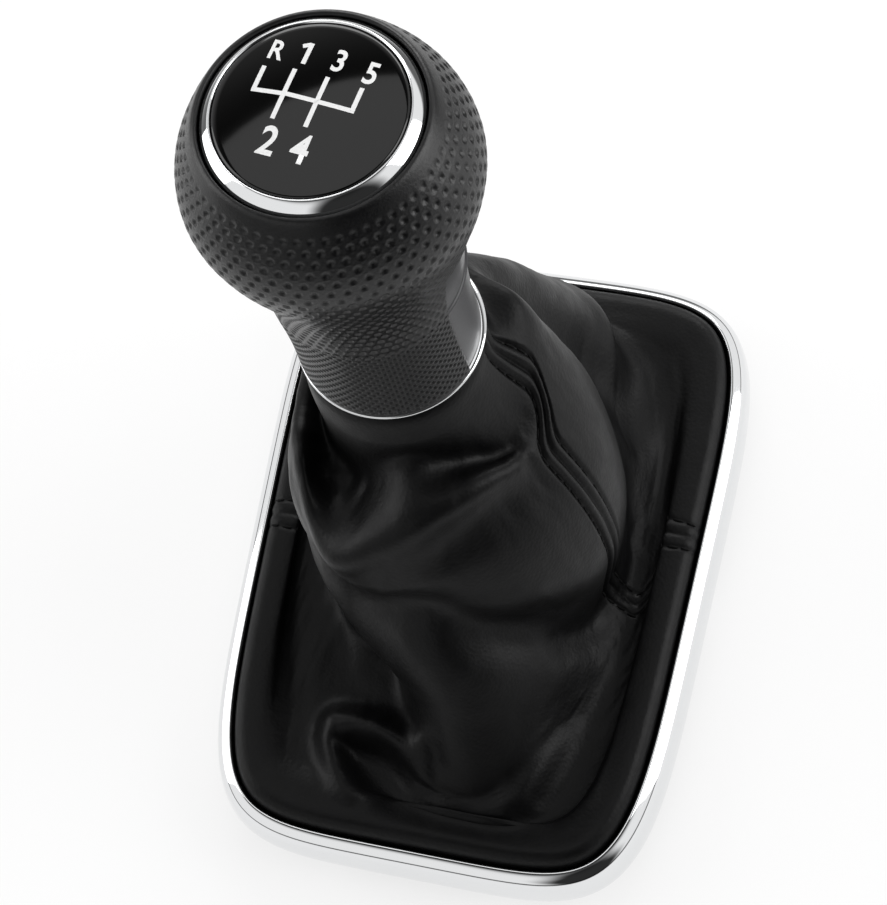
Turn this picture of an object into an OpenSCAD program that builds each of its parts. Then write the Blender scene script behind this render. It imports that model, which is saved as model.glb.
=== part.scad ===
// Gear shift knob with its leather gaiter and the bright trim frame that holds it.
// Millimetres. +X right, +Y to the front of the car, +Z up.
// The origin lies under the middle of the trim frame, level with the tips of the console clips.

/* [Trim frame] */
// Length of the trim frame, front to rear
trim_len = 153; // [140:1:170]
// Width of the trim frame at half its length
trim_w = 112.2; // [104:0.2:122]
// How much wider the far end is than the middle, as a share
trim_taper = 0.066; // [0:0.002:0.08]
// Squareness of the outline, where 2 is an ellipse
trim_square = 5.06; // [4.2:0.02:5.6]
// Width of the bright band, seen from above
trim_band = 5; // [4.6:0.1:6]
// Height of the trim above the console
trim_h = 10.3; // [9.6:0.1:12]
// Wall of the trim's moulded shell
trim_wall = 1.6; // [1.2:0.1:1.9]

/* [Gaiter frame] */
// Thickness of the plastic frame that carries the leather
carrier_t = 2; // [1.6:0.1:2.6]
// Width of that frame's flat flange
carrier_w = 8; // [6:0.5:10]
// How far the console clips reach below the console's surface
clip_depth = 8; // [6:0.5:12]
// Width of one console clip
clip_w = 9; // [7:0.5:12]

/* [Gaiter] */
// Thickness of the leather
leather_t = 1.1; // [0.8:0.1:1.4]
// Height of the skirt's rolled edge above the console
roll_h = 13.4; // [12.6:0.2:15]
// Reach of the big fold below the knob, from its axis
puff_r = 38; // [34:0.5:42]
// Reach of the low fold at the near end, from the knob's axis
lobe_r = 60; // [56:0.5:62]

/* [Knob] */
// Knob's axis, right of the frame's middle
knob_x = -7.8; // [-12:0.2:0]
// Knob's axis, ahead of the frame's middle
knob_y = 11.3; // [4:0.1:16]
// Height of the neck's lower edge above the console
neck_base = 102.6; // [96:0.2:112]
// Radius of the ball
ball_r = 25.4; // [24:0.1:27]
// Radius of the neck
neck_r = 18.1; // [17.6:0.1:19]
// Height of the ball's middle above the neck's lower edge
ball_h = 60.8; // [58:0.2:66]
// Thickness of the soft skin
skin_t = 1.5; // [1:0.1:1.8]
// Outer radius of the bright ring round the pattern cap
ring_r = 18; // [17.2:0.1:19]
// Radius of the pattern cap
cap_r = 15.7; // [14.5:0.1:16]
// How far the cap's middle stands above its edge
cap_dome = 0.7; // [0.2:0.1:1.5]

/* [Lever fixing] */
// Diameter of the lever that the sleeve takes
lever_d = 12; // [10:0.5:12.5]
// Depth of the lever's seat in the sleeve
lever_depth = 60; // [50:1:64]
// Outer radius of the sleeve inside the knob
sleeve_r = 10; // [9.4:0.1:10.4]

/* [Hidden] */
$fn = 96;
// Clearance between pieces that slide or snap together
fit_gap = 0.1;
// Clearance round the leather, which must stay free to move
leather_gap = 0.3;
// Stations round the outline
stations = 64;
// Columns across the gaiter's two panels, and how much closer they stand in the near one's folds
front_cols = 22;
rear_cols = 40;
rear_crowd = 0.5;
// A very small step, used to find the slope of a line
tiny = 0.05;

// Points round an outline

function rim_reach(a) = pow(
    pow(abs(cos(a)) / (trim_w / 2), trim_square) + pow(abs(sin(a)) / (trim_len / 2), trim_square),
    -1 / trim_square);

function rim_point(a) = let (p = rim_reach(a) * [cos(a), sin(a)])
    [p.x * (1 + trim_taper * p.y / (trim_len / 2)), p.y];

// The outline moved inwards by a distance, square to itself
function rim_inset(a, d) = let (
    along = rim_point(a + tiny) - rim_point(a - tiny),
    out = [along.y, -along.x] / norm(along)
) rim_point(a) - d * out;

function rim_outline(d) = [for (i = [0:1:stations - 1]) rim_inset(i * 360 / stations, d)];

// Smooth line through a row of knots of any kind, at place s counted in knots

function clamp_index(i, n) = max(0, min(n - 1, i));

function spline_at(knots, s) = let (
    n = len(knots),
    i = clamp_index(floor(s), n - 1),
    u = s - i,
    p0 = knots[clamp_index(i - 1, n)],
    p1 = knots[i],
    p2 = knots[clamp_index(i + 1, n)],
    p3 = knots[clamp_index(i + 2, n)]
) 0.5 * (2 * p1 + (p2 - p0) * u + (2 * p0 - 5 * p1 + 4 * p2 - p3) * u * u
    + (3 * p1 - p0 - 3 * p2 + p3) * u * u * u);

function smooth_line(knots, steps) = [
    for (i = [0:1:(len(knots) - 1) * steps]) spline_at(knots, i / steps)
];

// Closed skin over a grid of points: each row is one ring, and rings follow one another
module ring_skin(grid) {
    rows = len(grid);
    cols = len(grid[0]);
    points = [for (row = grid) for (p = row) p];
    faces = [
        for (r = [0:1:rows - 1]) for (c = [0:1:cols - 1]) let (
            a = r * cols + c,
            b = r * cols + (c + 1) % cols,
            d = ((r + 1) % rows) * cols + c,
            e = ((r + 1) % rows) * cols + (c + 1) % cols
        ) each [[a, b, e], [a, e, d]]
    ];
    polyhedron(points, faces, convexity = 10);
}

// Everything above is drawn from the console's surface
module on_console() {
    translate([0, 0, clip_depth]) children();
}

module on_knob() {
    translate([knob_x, knob_y, clip_depth + neck_base]) children();
}

// Trim frame: a thin bullnose shell, open below

// The section, as distance in from the outline and height, from the outer foot round to the inner one
trim_lip = trim_h - 3.8;
trim_section = concat(
    smooth_line([
        [0, 0], [0.05, 2.2], [0.5, 5], [trim_band * 0.26, trim_h - 2.6], [trim_band * 0.46, trim_h - 0.8],
        [trim_band * 0.7, trim_h], [trim_band * 0.9, trim_h - 0.35], [trim_band, trim_h - 1.2]
    ], 2),
    [
        [trim_band, trim_lip],
        [trim_band - trim_wall * 0.9, trim_lip],
        [trim_band - trim_wall * 0.9, trim_h - 2.4],
        [trim_wall + 1.1, trim_h - 3.2],
        [trim_wall + 0.4, 5],
        [trim_wall, 2.2],
        [trim_wall, 0]
    ]
);

module trim_frame() {
    on_console()
        color("gainsboro")
            ring_skin([
                for (k = trim_section) [
                    for (i = [0:1:stations - 1]) let (
                        p = rim_inset(i * 360 / stations, k[0])
                    ) [p.x, p.y, k[1]]
                ]
            ]);
}

// Gaiter frame: flange under the leather's hem, stiffening wall and clip blades

hem_z = trim_lip - leather_gap - leather_t;
carrier_top = hem_z - leather_gap;
carrier_in = trim_wall + fit_gap + 0.6;
blade_t = 1.6;
// Clips stand on the flange's outer wall: angle round the frame, one at each place
clip_angles = [0, 74, 106, 180, 254, 286];
// Snap lugs that grip the trim's outer wall
lug_angles = [20, 48, 90, 132, 160, 200, 228, 270, 312, 340];
lug_w = 7;

module rim_band(from, to, low, high) {
    translate([0, 0, low])
        linear_extrude(high - low)
            difference() {
                polygon(rim_outline(from));
                polygon(rim_outline(to));
            }
}

// A place on the outline, turned so that +X points outwards
module at_rim(a, d) {
    p = rim_inset(a, d);
    q = rim_inset(a, d + 1);
    translate([p.x, p.y, 0])
        rotate([0, 0, atan2(p.y - q.y, p.x - q.x)])
            children();
}

module gaiter_frame() {
    on_console()
        color("dimgray")
            union() {
                rim_band(carrier_in, carrier_in + carrier_w, carrier_top - carrier_t, carrier_top);
                rim_band(carrier_in, carrier_in + 1.5, 0, carrier_top);
                rim_band(carrier_in + carrier_w - 1.5, carrier_in + carrier_w, 0.4, carrier_top);
                for (a = lug_angles)
                    at_rim(a, carrier_in)
                        translate([-1, -lug_w / 2, 0.8])
                            cube([1 + carrier_in - trim_wall - fit_gap, lug_w, 1.2]);
                for (a = clip_angles)
                    at_rim(a, carrier_in + carrier_w / 2)
                        translate([-blade_t / 2, -clip_w / 2 - 1, -clip_depth + 2.5])
                            cube([blade_t, clip_w + 2, carrier_top - carrier_t / 2 + clip_depth - 2.5]);
            }
}

// Console clip: a bent strip of spring steel pushed over a blade

clip_t = 0.6;
clip_section = [
    [-blade_t / 2 - fit_gap - clip_t - 0.2, 2.2],
    [-blade_t / 2 - fit_gap - clip_t - 2.2, -clip_depth + 4.6],
    [-blade_t / 2 - fit_gap - clip_t, -clip_depth + 1],
    [-blade_t / 2 + 0.2, -clip_depth],
    [blade_t / 2 - 0.2, -clip_depth],
    [blade_t / 2 + fit_gap + clip_t, -clip_depth + 1],
    [blade_t / 2 + fit_gap + clip_t + 2.2, -clip_depth + 4.6],
    [blade_t / 2 + fit_gap + clip_t + 0.2, 2.2]
];
clip_inside = [
    [-blade_t / 2 - fit_gap, 2.2],
    [-blade_t / 2 - fit_gap - 1.8, -clip_depth + 4.7],
    [-blade_t / 2 - fit_gap, -clip_depth + 1.6],
    [-blade_t / 2 + 0.2, -clip_depth + clip_t],
    [blade_t / 2 - 0.2, -clip_depth + clip_t],
    [blade_t / 2 + fit_gap, -clip_depth + 1.6],
    [blade_t / 2 + fit_gap + 1.8, -clip_depth + 4.7],
    [blade_t / 2 + fit_gap, 2.2]
];

module console_clip(i) {
    on_console()
        color("silver")
            at_rim(clip_angles[i], carrier_in + carrier_w / 2)
                translate([0, clip_w / 2, 0])
                    rotate([90, 0, 0])
                        linear_extrude(clip_w)
                            difference() {
                                polygon(clip_section);
                                polygon(clip_inside);
                            }
}

// Gaiter: two leather panels, sewn together at the right and the left

// The profiles below were drawn for these sizes, and are stretched from them
drawn_len = 153;
drawn_w = 112.2;
drawn_neck_base = 102.6;
drawn_neck_r = 18.1;
drawn_puff_r = 38;
drawn_lobe_r = 60;
// Height below which the leather follows the frame's size, and above which the neck's height
skirt_h = 20;
hem_in = trim_band + leather_gap + 0.2;
gather_r = neck_r - 3.4;
// Each knot is [inset from the trim's outline, share of the round column, its radius, height]
gaiter_foot = [
    [hem_in - 2.4, 0, 50, hem_z + leather_t],
    [hem_in, 0, 50, hem_z + leather_t + 0.3],
    [hem_in + 0.6, 0, 50, roll_h - 3],
    [hem_in + 3.6, 0, 50, roll_h]
];
gaiter_neck = [
    [20, 1, neck_r + 0.8, neck_base - 8],
    [20, 1, neck_r - 0.3, neck_base - 2.4],
    [20, 1, gather_r + 0.3, neck_base + 0.2],
    [20, 1, gather_r, neck_base + 3.6],
    [20, 1, gather_r, neck_base + 8]
];
// Profiles at even turns round the gaiter, starting behind the right seam.
// The first knot is [inset, height] in the skirt's valley, and the others are [radius, height].
profiles = [
    [[13, 12.9], [51, 11.2], [47, 9.4], [43, 8.8], [39.5, 9.6], [36.5, 11.5],
        [34.5, 15.5], [36, 25], [38.5, 41], [34.5, 61], [27, 77], [22.5, 81]],
    [[13, 12.9], [49, 11.2], [44, 9.4], [40, 9], [37, 11.5], [36.5, 17],
        [37, 24], [38.3, 33], [38, 46], [35.5, 61], [29.5, 76], [24, 86]],
    [[13, 13.2], [56, 12.4], [51, 13], [46, 17], [42.5, 24], [40.5, 32],
        [39.5, 41], [38.2, 50], [36.5, 60], [33.5, 71], [29.5, 83], [26, 93]],
    [[13, 14], [63, 16], [63, 21], [60, 29], [55.5, 37.5], [51, 46.5],
        [47, 55], [43, 63.5], [39, 71], [34.5, 79.5], [29.5, 86.5], [23.5, 93]],
    [[13, 14], [64, 15], [61, 20.5], [57, 28], [52, 37], [47, 46],
        [42.5, 54], [38.5, 62], [34.5, 70], [30.5, 78], [26.5, 86], [21.5, 92]],
    [[13, 13.2], [57, 12], [51, 13], [46, 18], [42, 27], [38.5, 37],
        [35.5, 47], [33, 57], [30.5, 65.5], [28, 74], [25.5, 82], [20.5, 88]],
    [[13, 12.9], [48, 11.2], [42, 9.6], [36.5, 12], [34.5, 22], [33.5, 32],
        [32.5, 42], [31, 52], [29, 61], [27.5, 69], [25, 77], [20, 80]],
    [[13, 12.9], [47, 10.8], [41, 9], [35.5, 10.5], [34, 20], [33.5, 31],
        [32.5, 42], [31.5, 52], [30, 61], [28, 69], [24.5, 76], [19.8, 76]],
    [[13, 12.9], [52, 10.8], [44, 9], [35, 9.5], [33.5, 18], [34.5, 29],
        [34, 41], [33, 50], [32.8, 59], [31, 69.5], [26.5, 79], [19.8, 75]],
    [[13, 12.7], [64, 10.6], [56, 9.2], [44, 8.8], [34, 9.6], [34.5, 19],
        [38, 30], [36.5, 43], [33.5, 52], [35.5, 62], [33.5, 71.5], [20, 77.5]],
    [[12.5, 12.4], [67, 10], [63.5, 9.6], [60.5, 13.5], [56, 19], [50, 28],
        [44.5, 39], [39, 49], [34, 57], [34.5, 67], [30, 80], [20, 88]],
    [[13, 12.6], [58, 10.2], [54, 9.4], [50, 10.5], [46.5, 15], [43.5, 22],
        [40, 31], [35.5, 40], [37, 53], [33.5, 68], [27.5, 82], [20, 85]]
];
// Profiles that carry the low fold at the near end
near_first = 9;
near_last = 10;
// How far each of the first profile knots leaves the frame's outline for the round column
skirt_shares = [0, 0.3, 0.75];
skirt_insets = [13, 15.5, 18];
// How far the column is turned against the frame, so that the seams lean
column_turn = -20;
// Top of the knots, counted from nought
top_knot = len(gaiter_foot) + len(profiles[0]) + len(gaiter_neck) - 1;
// Rings up the gaiter: the low folds have them closer together
low_folds = 4;
high_folds = 10;
fold_rings = 17;
levels = concat(
    [for (s = [0:0.5:low_folds - 0.5]) s],
    [for (i = [0:1:fold_rings - 1]) low_folds + i * (high_folds - low_folds) / fold_rings],
    [for (s = [high_folds:0.5:top_knot]) s]
);

function bell(x, width) = exp(-x * x / (width * width));

function turn_between(a, b) = (a - b + 540) % 360 - 180;

function ramp(x) = let (u = max(0, min(1, x))) u * u * (3 - 2 * u);

function stretched_r(i, j, r) = r * (
    j > 5 ? puff_r / drawn_puff_r
    : i >= near_first && i <= near_last ? lobe_r / drawn_lobe_r : 1
) + (j == len(profiles[0]) - 1 ? neck_r - drawn_neck_r : 0);

function stretched_z(z) = z < skirt_h ? z
    : skirt_h + (z - skirt_h) * (neck_base - skirt_h) / (drawn_neck_base - skirt_h);

function profile_knot(i, j) = let (k = profiles[i][j])
    j == 0 ? [k[0], 0, 50, k[1]]
    : j < len(skirt_shares) ? [skirt_insets[j], skirt_shares[j], stretched_r(i, j, k[0]), k[1]]
    : [20, 1, stretched_r(i, j, k[0]), stretched_z(k[1])];

gaiter_lines = [
    for (i = [0:1:len(profiles) - 1]) concat(
        gaiter_foot,
        [for (j = [0:1:len(profiles[0]) - 1]) profile_knot(i, j)],
        gaiter_neck
    )
];

// Smooth way round from profile to profile
function line_at(a, s) = let (
    n = len(gaiter_lines),
    turn = ((a % 360) + 360) % 360 * n / 360,
    i = floor(turn),
    u = turn - i,
    k = [for (d = [-1:1:2]) spline_at(gaiter_lines[(i + d + n) % n], s)]
) 0.5 * (2 * k[1] + (k[2] - k[0]) * u + (2 * k[0] - 5 * k[1] + 4 * k[2] - k[3]) * u * u
    + (3 * k[1] - k[0] - 3 * k[2] + k[3]) * u * u * u);

function plain_point(a, s) = let (
    k = line_at(a, s),
    c = min(1, max(0, k[3] / neck_base)) * [knob_x, knob_y],
    b = a + column_turn * k[1],
    low = max(0, 1 - k[3] / (2 * skirt_h)),
    wide = 1 + low * (trim_w / drawn_w - 1),
    long = 1 + low * (trim_len / drawn_len - 1),
    flat_point = (1 - k[1]) * rim_inset(a, k[0]) + k[1] * (c + k[2] * [wide * cos(b), long * sin(b)])
) [flat_point.x, flat_point.y, k[3]];

// Folds: [height, width, line as [angle, level, strength]]; a crease has a height below nought
folds = [
    // Ridge of the big fold, and the groove under its right half
    [1.3, 2.6, [[262, 13.4, 0.2], [272, 13.75, 1], [284, 14.05, 1], [315, 14.1, 1],
        [340, 14.1, 1], [362, 14.05, 0.6]]],
    [-2.2, 3, [[300, 13.3, 0.1], [312, 13.5, 0.9], [340, 13.65, 1], [356, 13.8, 0.4]]],
    // Its right end turns up beside the seam
    [2.4, 3.2, [[352, 14.1, 0.3], [4, 14.1, 0.9], [12, 14.1, 1], [20, 14.35, 1], [27, 14.55, 1],
        [34, 14.7, 0.8], [41, 14.8, 0.2]]],
    // Crease under the cuff, and the pit at its left end
    [-1.4, 2.6, [[270, 15, 0.6], [278, 15.1, 1], [322, 15, 1], [344, 14.9, 1], [358, 14.7, 0.3]]],
    [-3.2, 4.5, [[238, 14.6, 0.3], [250, 14.65, 1], [258, 14.7, 1], [267, 14.85, 0.4]]],
    // Hollow under the waist, and the fuller edge above it
    [-1.9, 6, [[250, 11, 0.2], [264, 11, 1], [272, 11.3, 1], [287, 11.5, 1], [303, 11.35, 1],
        [315, 10.95, 1], [327, 10.4, 1], [340, 9.9, 1], [353, 9.4, 0.5]]],
    [0.9, 4, [[264, 11.8, 0.2], [287, 12.5, 1], [303, 12.3, 1], [315, 11.9, 1], [327, 11.3, 1],
        [340, 10.8, 1], [353, 10.3, 0.4]]],
    // Valley between the right shoulder and the hump behind it
    [-7, 6.5, [[76, 15.2, 0.2], [75, 14, 0.8], [74, 12.5, 1], [73, 10.5, 1], [72, 8.5, 1],
        [68, 7, 0.7], [62, 5.8, 0.2]]]
];

// How far round and up one degree and one level are on the leather, roughly, in millimetres
degree_step = 0.66;
level_step = 7;

// Distance from a place to a stretch of a fold's line, and the strength there
function to_stretch(p, a, b) = let (
    from = [a.x * degree_step, a.y * level_step],
    along = [b.x * degree_step, b.y * level_step] - from,
    u = max(0, min(1, (p - from) * along / (along * along)))
) [norm(p - from - u * along), a.z + u * (b.z - a.z)];

function nearest(pairs, i = 0, best = [1000, 0, 0, 0]) =
    i == len(pairs) ? best : nearest(pairs, i + 1, pairs[i][0] < best[0] ? pairs[i] : best);

function fold_height(fold, a, s) = let (
    line = fold[2],
    place = [(line[0].x + turn_between(a, line[0].x)) * degree_step, s * level_step],
    hit = nearest([for (i = [0:1:len(line) - 2]) to_stretch(place, line[i], line[i + 1])])
) fold[0] * hit[1] * bell(hit[0], fold[1]);

// Low pleats, drawn as they lie seen from above. Each one pulls the leather near its line towards
// the line's height: [sink -1 or rise 1, reach to the left of the line, reach to its right,
// line as [x, y, height, strength]]
pleats = [
    // Pocket at the near left, and the trough in front of the low fold
    [-1, 4, 4, [[-20, -51, 9.2, 1], [-11.5, -53.5, 9.2, 1], [-6, -59, 9.6, 0.8]]],
    [-1, 2.6, 2.6, [[-9, -56.5, 9.8, 0.6], [-4.7, -61.5, 10.6, 0.8], [5.3, -65, 10.9, 1],
        [16.7, -65, 10.9, 1], [27.3, -60.8, 10.8, 0.8], [34, -52, 10.5, 0.4]]],
    // Foot of the lobe, and the edge of the low fold
    [1, 5, 5, [[-0.5, -49.5, 20, 0.5], [1.5, -53.5, 16, 0.7], [5, -56.5, 13.5, 0.6]]],
    [1, 6, 2.4, [[0.6, -57.6, 12.5, 0.4], [6.7, -60, 13, 1], [14.5, -61, 13.2, 1], [19.1, -59.2, 14.2, 1],
        [22, -55.8, 16, 0.8], [24.3, -50.1, 18.5, 0.6], [26.3, -44.8, 21, 0.4], [28.7, -38.6, 24, 0.1]]],
    // Lip of the pocket: from the hook to the left, then round to the near edge
    [1, 2.4, 3.4, [[-3, -50, 17, 0.2], [-7.9, -48.3, 18.5, 0.8], [-12, -47.2, 18.5, 1],
        [-17.2, -46.8, 18, 1], [-21.6, -47.6, 17, 1]]],
    [1, 3, 3.4, [[-17.2, -46.8, 18, 0.2], [-21.6, -47.6, 17, 1], [-22.8, -50.8, 16, 1],
        [-22.1, -53.1, 15.5, 1], [-20.2, -56.9, 15, 1], [-17.6, -60.4, 14.6, 1], [-14.8, -63, 14.2, 1],
        [-12.7, -66, 13.8, 0.6]]]
];
// The levels between which the pleats reach, their share of the way to their line's height, and the
// least reach that these facets can show
pleat_from = 3.2;
pleat_to = 9.8;
pleat_share = 0.75;
pleat_reach = 6;

// Side above nought is to the left of the line
function to_pleat(p, a, b) = let (
    from = [a.x * trim_w / drawn_w, a.y * trim_len / drawn_len],
    along = [b.x * trim_w / drawn_w, b.y * trim_len / drawn_len] - from,
    q = [p.x, p.y] - from,
    u = max(0, min(1, q * along / (along * along)))
) [norm(q - u * along), a.z + u * (b.z - a.z), a[3] + u * (b[3] - a[3]), along.x * q.y - along.y * q.x];

function pleat_pull(pleat, p) = let (
    line = pleat[3],
    hit = nearest([for (i = [0:1:len(line) - 2]) to_pleat(p, line[i], line[i + 1])]),
    reach = max(pleat_reach, hit[3] > 0 ? pleat[1] : pleat[2]),
    pull = (hit[1] - p.z) * hit[2] * bell(hit[0], reach)
) pleat[0] > 0 ? max(0, pull) : min(0, pull);

function pleated(p, share, i = 0) = i == len(pleats) ? p
    : pleated([p.x, p.y, p.z + share * pleat_pull(pleats[i], p)], share, i + 1);

function plain_normal(a, s) = let (
    round_way = plain_point(a + 1, s) - plain_point(a - 1, s),
    up_way = plain_point(a, s + tiny) - plain_point(a, s - tiny),
    n = cross(round_way, up_way)
) n / norm(n);

// Folds fade out at both hems, where the leather is clamped
function fold_share(s) = max(0, min(1, (s - 3.4) / 2)) * max(0, min(1, (top_knot - 4 - s) / 1.5));

function gaiter_point(a, s) = let (
    lift = fold_share(s) == 0 ? 0 : fold_share(s) * (
        [for (f = folds) fold_height(f, a, s)] * [for (f = folds) 1]),
    p = lift == 0 ? plain_point(a, s) : plain_point(a, s) + lift * plain_normal(a, s),
    share = ramp(s - pleat_from) * ramp((pleat_to - s) / 1.2)
) share == 0 ? p : pleated(p, pleat_share * share);

function grid_normal(grid, r, c) = let (
    rows = len(grid),
    cols = len(grid[0]),
    n = cross(
        grid[r][min(cols - 1, c + 1)] - grid[r][max(0, c - 1)],
        grid[min(rows - 1, r + 1)][c] - grid[max(0, r - 1)][c])
) n / norm(n);

// The right seam swings towards the front near the knob; the left one runs straight
seam_left = 180;
seam_right = 10;
seam_swing = 21;

function seam_right_at(s) = seam_right + seam_swing * ramp((s - 13.7) / 1.3);

// Share of the way across a panel for a column, with the columns crowded round its middle
function crowded(u, crowd) = u + crowd / 6.2832 * sin(360 * u);

// A panel between the two angles that edges gives for each ring, with one more column at each side
// to find the slope there: an outer skin, an inner skin and the cut edges
module gaiter_panel(edges, cols, crowd = 0) {
    rings = len(levels) - 1;
    wide = [
        for (r = [0:1:rings]) [
            for (c = [-1:1:cols + 1])
                gaiter_point(edges[r][0] + crowded(c / cols, crowd) * (edges[r][1] - edges[r][0]), levels[r])
        ]
    ];
    outer = [for (row = wide) [for (c = [1:1:cols + 1]) row[c]]];
    inner = [
        for (r = [0:1:rings]) [
            for (c = [1:1:cols + 1]) wide[r][c] - leather_t * grid_normal(wide, r, c)
        ]
    ];
    // One closed loop of points across the panel for each ring
    loops = [for (r = [0:1:rings]) concat(outer[r], [for (c = [cols:-1:0]) inner[r][c]])];
    points = [for (loop = loops) for (p = loop) p];
    width = 2 * (cols + 1);
    side_faces = [
        for (r = [0:1:rings - 1]) for (c = [0:1:width - 1]) let (
            a = r * width + c,
            b = r * width + (c + 1) % width,
            d = (r + 1) * width + c,
            e = (r + 1) * width + (c + 1) % width
        ) each [[a, e, b], [a, d, e]]
    ];
    low_faces = [
        for (c = [0:1:cols - 1]) each [
            [c, c + 1, width - 2 - c], [c, width - 2 - c, width - 1 - c]
        ]
    ];
    top = rings * width;
    top_faces = [
        for (c = [0:1:cols - 1]) each [
            [top + c, top + width - 2 - c, top + c + 1], [top + c, top + width - 1 - c, top + width - 2 - c]
        ]
    ];
    polyhedron(points, concat(side_faces, low_faces, top_faces), convexity = 10);
}

module gaiter_front_panel() {
    on_console()
        color("#1b1b1c")
            gaiter_panel([for (s = levels) [seam_right_at(s), seam_left]], front_cols);
}

module gaiter_rear_panel() {
    on_console()
        color("#1e1e1f")
            gaiter_panel([for (s = levels) [seam_left, seam_right_at(s) + 360]], rear_cols, rear_crowd);
}

// Gaiter retainer: ring on the sleeve that the leather's top hem is tied to

retainer_r = gather_r - leather_t - leather_gap;
neck_hollow_r = gather_r + 1.1;

module gaiter_retainer() {
    on_knob()
        color("dimgray")
            rotate_extrude()
                polygon([
                    [sleeve_r + fit_gap, 0.5],
                    [retainer_r - 0.6, 0.5],
                    [retainer_r, 1.1],
                    [retainer_r, 8.6],
                    [gather_r, 9],
                    [gather_r, 10],
                    [sleeve_r + fit_gap, 10]
                ]);
}

// Gaiter tie: narrow band round the hem, with its lock

module gaiter_tie() {
    on_knob()
        color("black")
            translate([0, 0, 4.2])
                rotate_extrude()
                    translate([gather_r + 0.1, 0])
                        square([0.7, 2.6]);
}

// Knob core and its skin share one outline

knob_top = ball_h + sqrt(ball_r * ball_r - ring_r * ring_r) - 1.8;
// Height of the smooth strip down the neck
strip_top = ball_h * 0.444;
grip_line = smooth_line([
    [neck_r + 0.25, 1.2],
    [neck_r + 0.05, ball_h * 0.1],
    [neck_r - 0.05, ball_h * 0.214],
    [neck_r + 0.1, ball_h * 0.33],
    [neck_r + 0.4, strip_top + 0.6],
    [neck_r + 0.9, ball_h * 0.56],
    [ball_r * 0.787, ball_h - 20.8],
    [ball_r * 0.843, ball_h - 14.8],
    [ball_r * 0.906, ball_h - 9.8],
    [ball_r * 0.965, ball_h - 4.8],
    [ball_r, ball_h + 0.4],
    [ball_r * 0.98, ball_h + 4.8],
    [ball_r * 0.93, ball_h + 8.6],
    [ball_r * 0.85, ball_h + 12.6],
    [ring_r + 1.4, knob_top + 0.2],
    [ring_r + 0.4, knob_top + 0.8]
], 2);

function line_inset(line, d) = [
    for (i = [0:1:len(line) - 1]) let (
        along = line[min(len(line) - 1, i + 1)] - line[max(0, i - 1)],
        out = [along.y, -along.x] / norm(along)
    ) line[i] - d * out
];
core_line = [for (p = line_inset(grip_line, skin_t)) if (p.y < knob_top - 2.4) p];
// Face of the pocket that takes the cap's carrier
pocket_z = knob_top - 3.4;
// How far the lever's sleeve hangs below the neck, and where it ends inside the ball
sleeve_drop = 12;
sleeve_top = lever_depth - sleeve_drop + 3;

module knob_core() {
    on_knob()
        color("#2a2a2a")
            rotate_extrude()
                polygon(concat(
                    [[neck_hollow_r, 1.2]],
                    core_line,
                    [
                        [ring_r - 0.8, pocket_z + 1.6],
                        [ring_r - 0.8, pocket_z],
                        [14.4, pocket_z],
                        [14.4, pocket_z - 6],
                        [6, pocket_z - 6],
                        [6, sleeve_top + fit_gap],
                        [sleeve_r + fit_gap, sleeve_top + fit_gap],
                        [sleeve_r + fit_gap, 10.2],
                        [neck_hollow_r, 10.2]
                    ]
                ));
}

// Smooth strip down the right of the neck, where the skin is joined
strip_from = -15;
strip_to = 42;

module grip_cover() {
    on_knob()
        color("#161616")
            difference() {
                rotate_extrude()
                    polygon(concat(
                        grip_line,
                        [[ring_r + fit_gap, knob_top], [ring_r + fit_gap, knob_top - 1.6]],
                        [for (i = [len(core_line) - 1:-1:0]) core_line[i]]
                    ));
                // The strip lies a little below the skin beside it
                rotate([0, 0, strip_from])
                    rotate_extrude(angle = strip_to - strip_from)
                        translate([neck_r - 0.35, 2])
                            square([6, strip_top - 2]);
            }
}

// Collar trim: thin bright line at the neck's lower edge

module collar_trim() {
    on_knob()
        color("silver")
            rotate_extrude()
                polygon([
                    [neck_hollow_r, 0],
                    [neck_r + 0.35, 0],
                    [neck_r + 0.65, 0.35],
                    [neck_r + 0.55, 1.1],
                    [neck_hollow_r, 1.1]
                ]);
}

// Bright ring, cap and their carrier

ring_top = knob_top + 2;

module chrome_ring() {
    on_knob()
        color("gainsboro")
            rotate_extrude()
                polygon(concat(
                    smooth_line([
                        [ring_r, knob_top], [ring_r - 0.15, knob_top + 0.7], [ring_r - 0.7, knob_top + 1.5],
                        [cap_r + 0.9, ring_top], [cap_r + fit_gap, ring_top - 0.15]
                    ], 3),
                    [
                        [cap_r + fit_gap, pocket_z + 1.9],
                        [ring_r - 1, pocket_z + 1.9],
                        [ring_r - 1, knob_top]
                    ]
                ));
}

module cap_carrier() {
    on_knob()
        color("#303030")
            difference() {
                rotate_extrude()
                    polygon([
                        [0, pocket_z],
                        [12.6, pocket_z],
                        [12.6, pocket_z - 5.5],
                        [14.3, pocket_z - 5.5],
                        [14.3, pocket_z],
                        [ring_r - 0.9, pocket_z],
                        [ring_r - 0.9, pocket_z + 1.8],
                        [0, pocket_z + 1.8]
                    ]);
                for (a = [45:90:315])
                    rotate([0, 0, a])
                        translate([9, -2.6, pocket_z - 1])
                            cube([2.4, 5.2, 4]);
                translate([0, 0, pocket_z - 1])
                    cylinder(h = 4, r = 3);
            }
}

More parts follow.
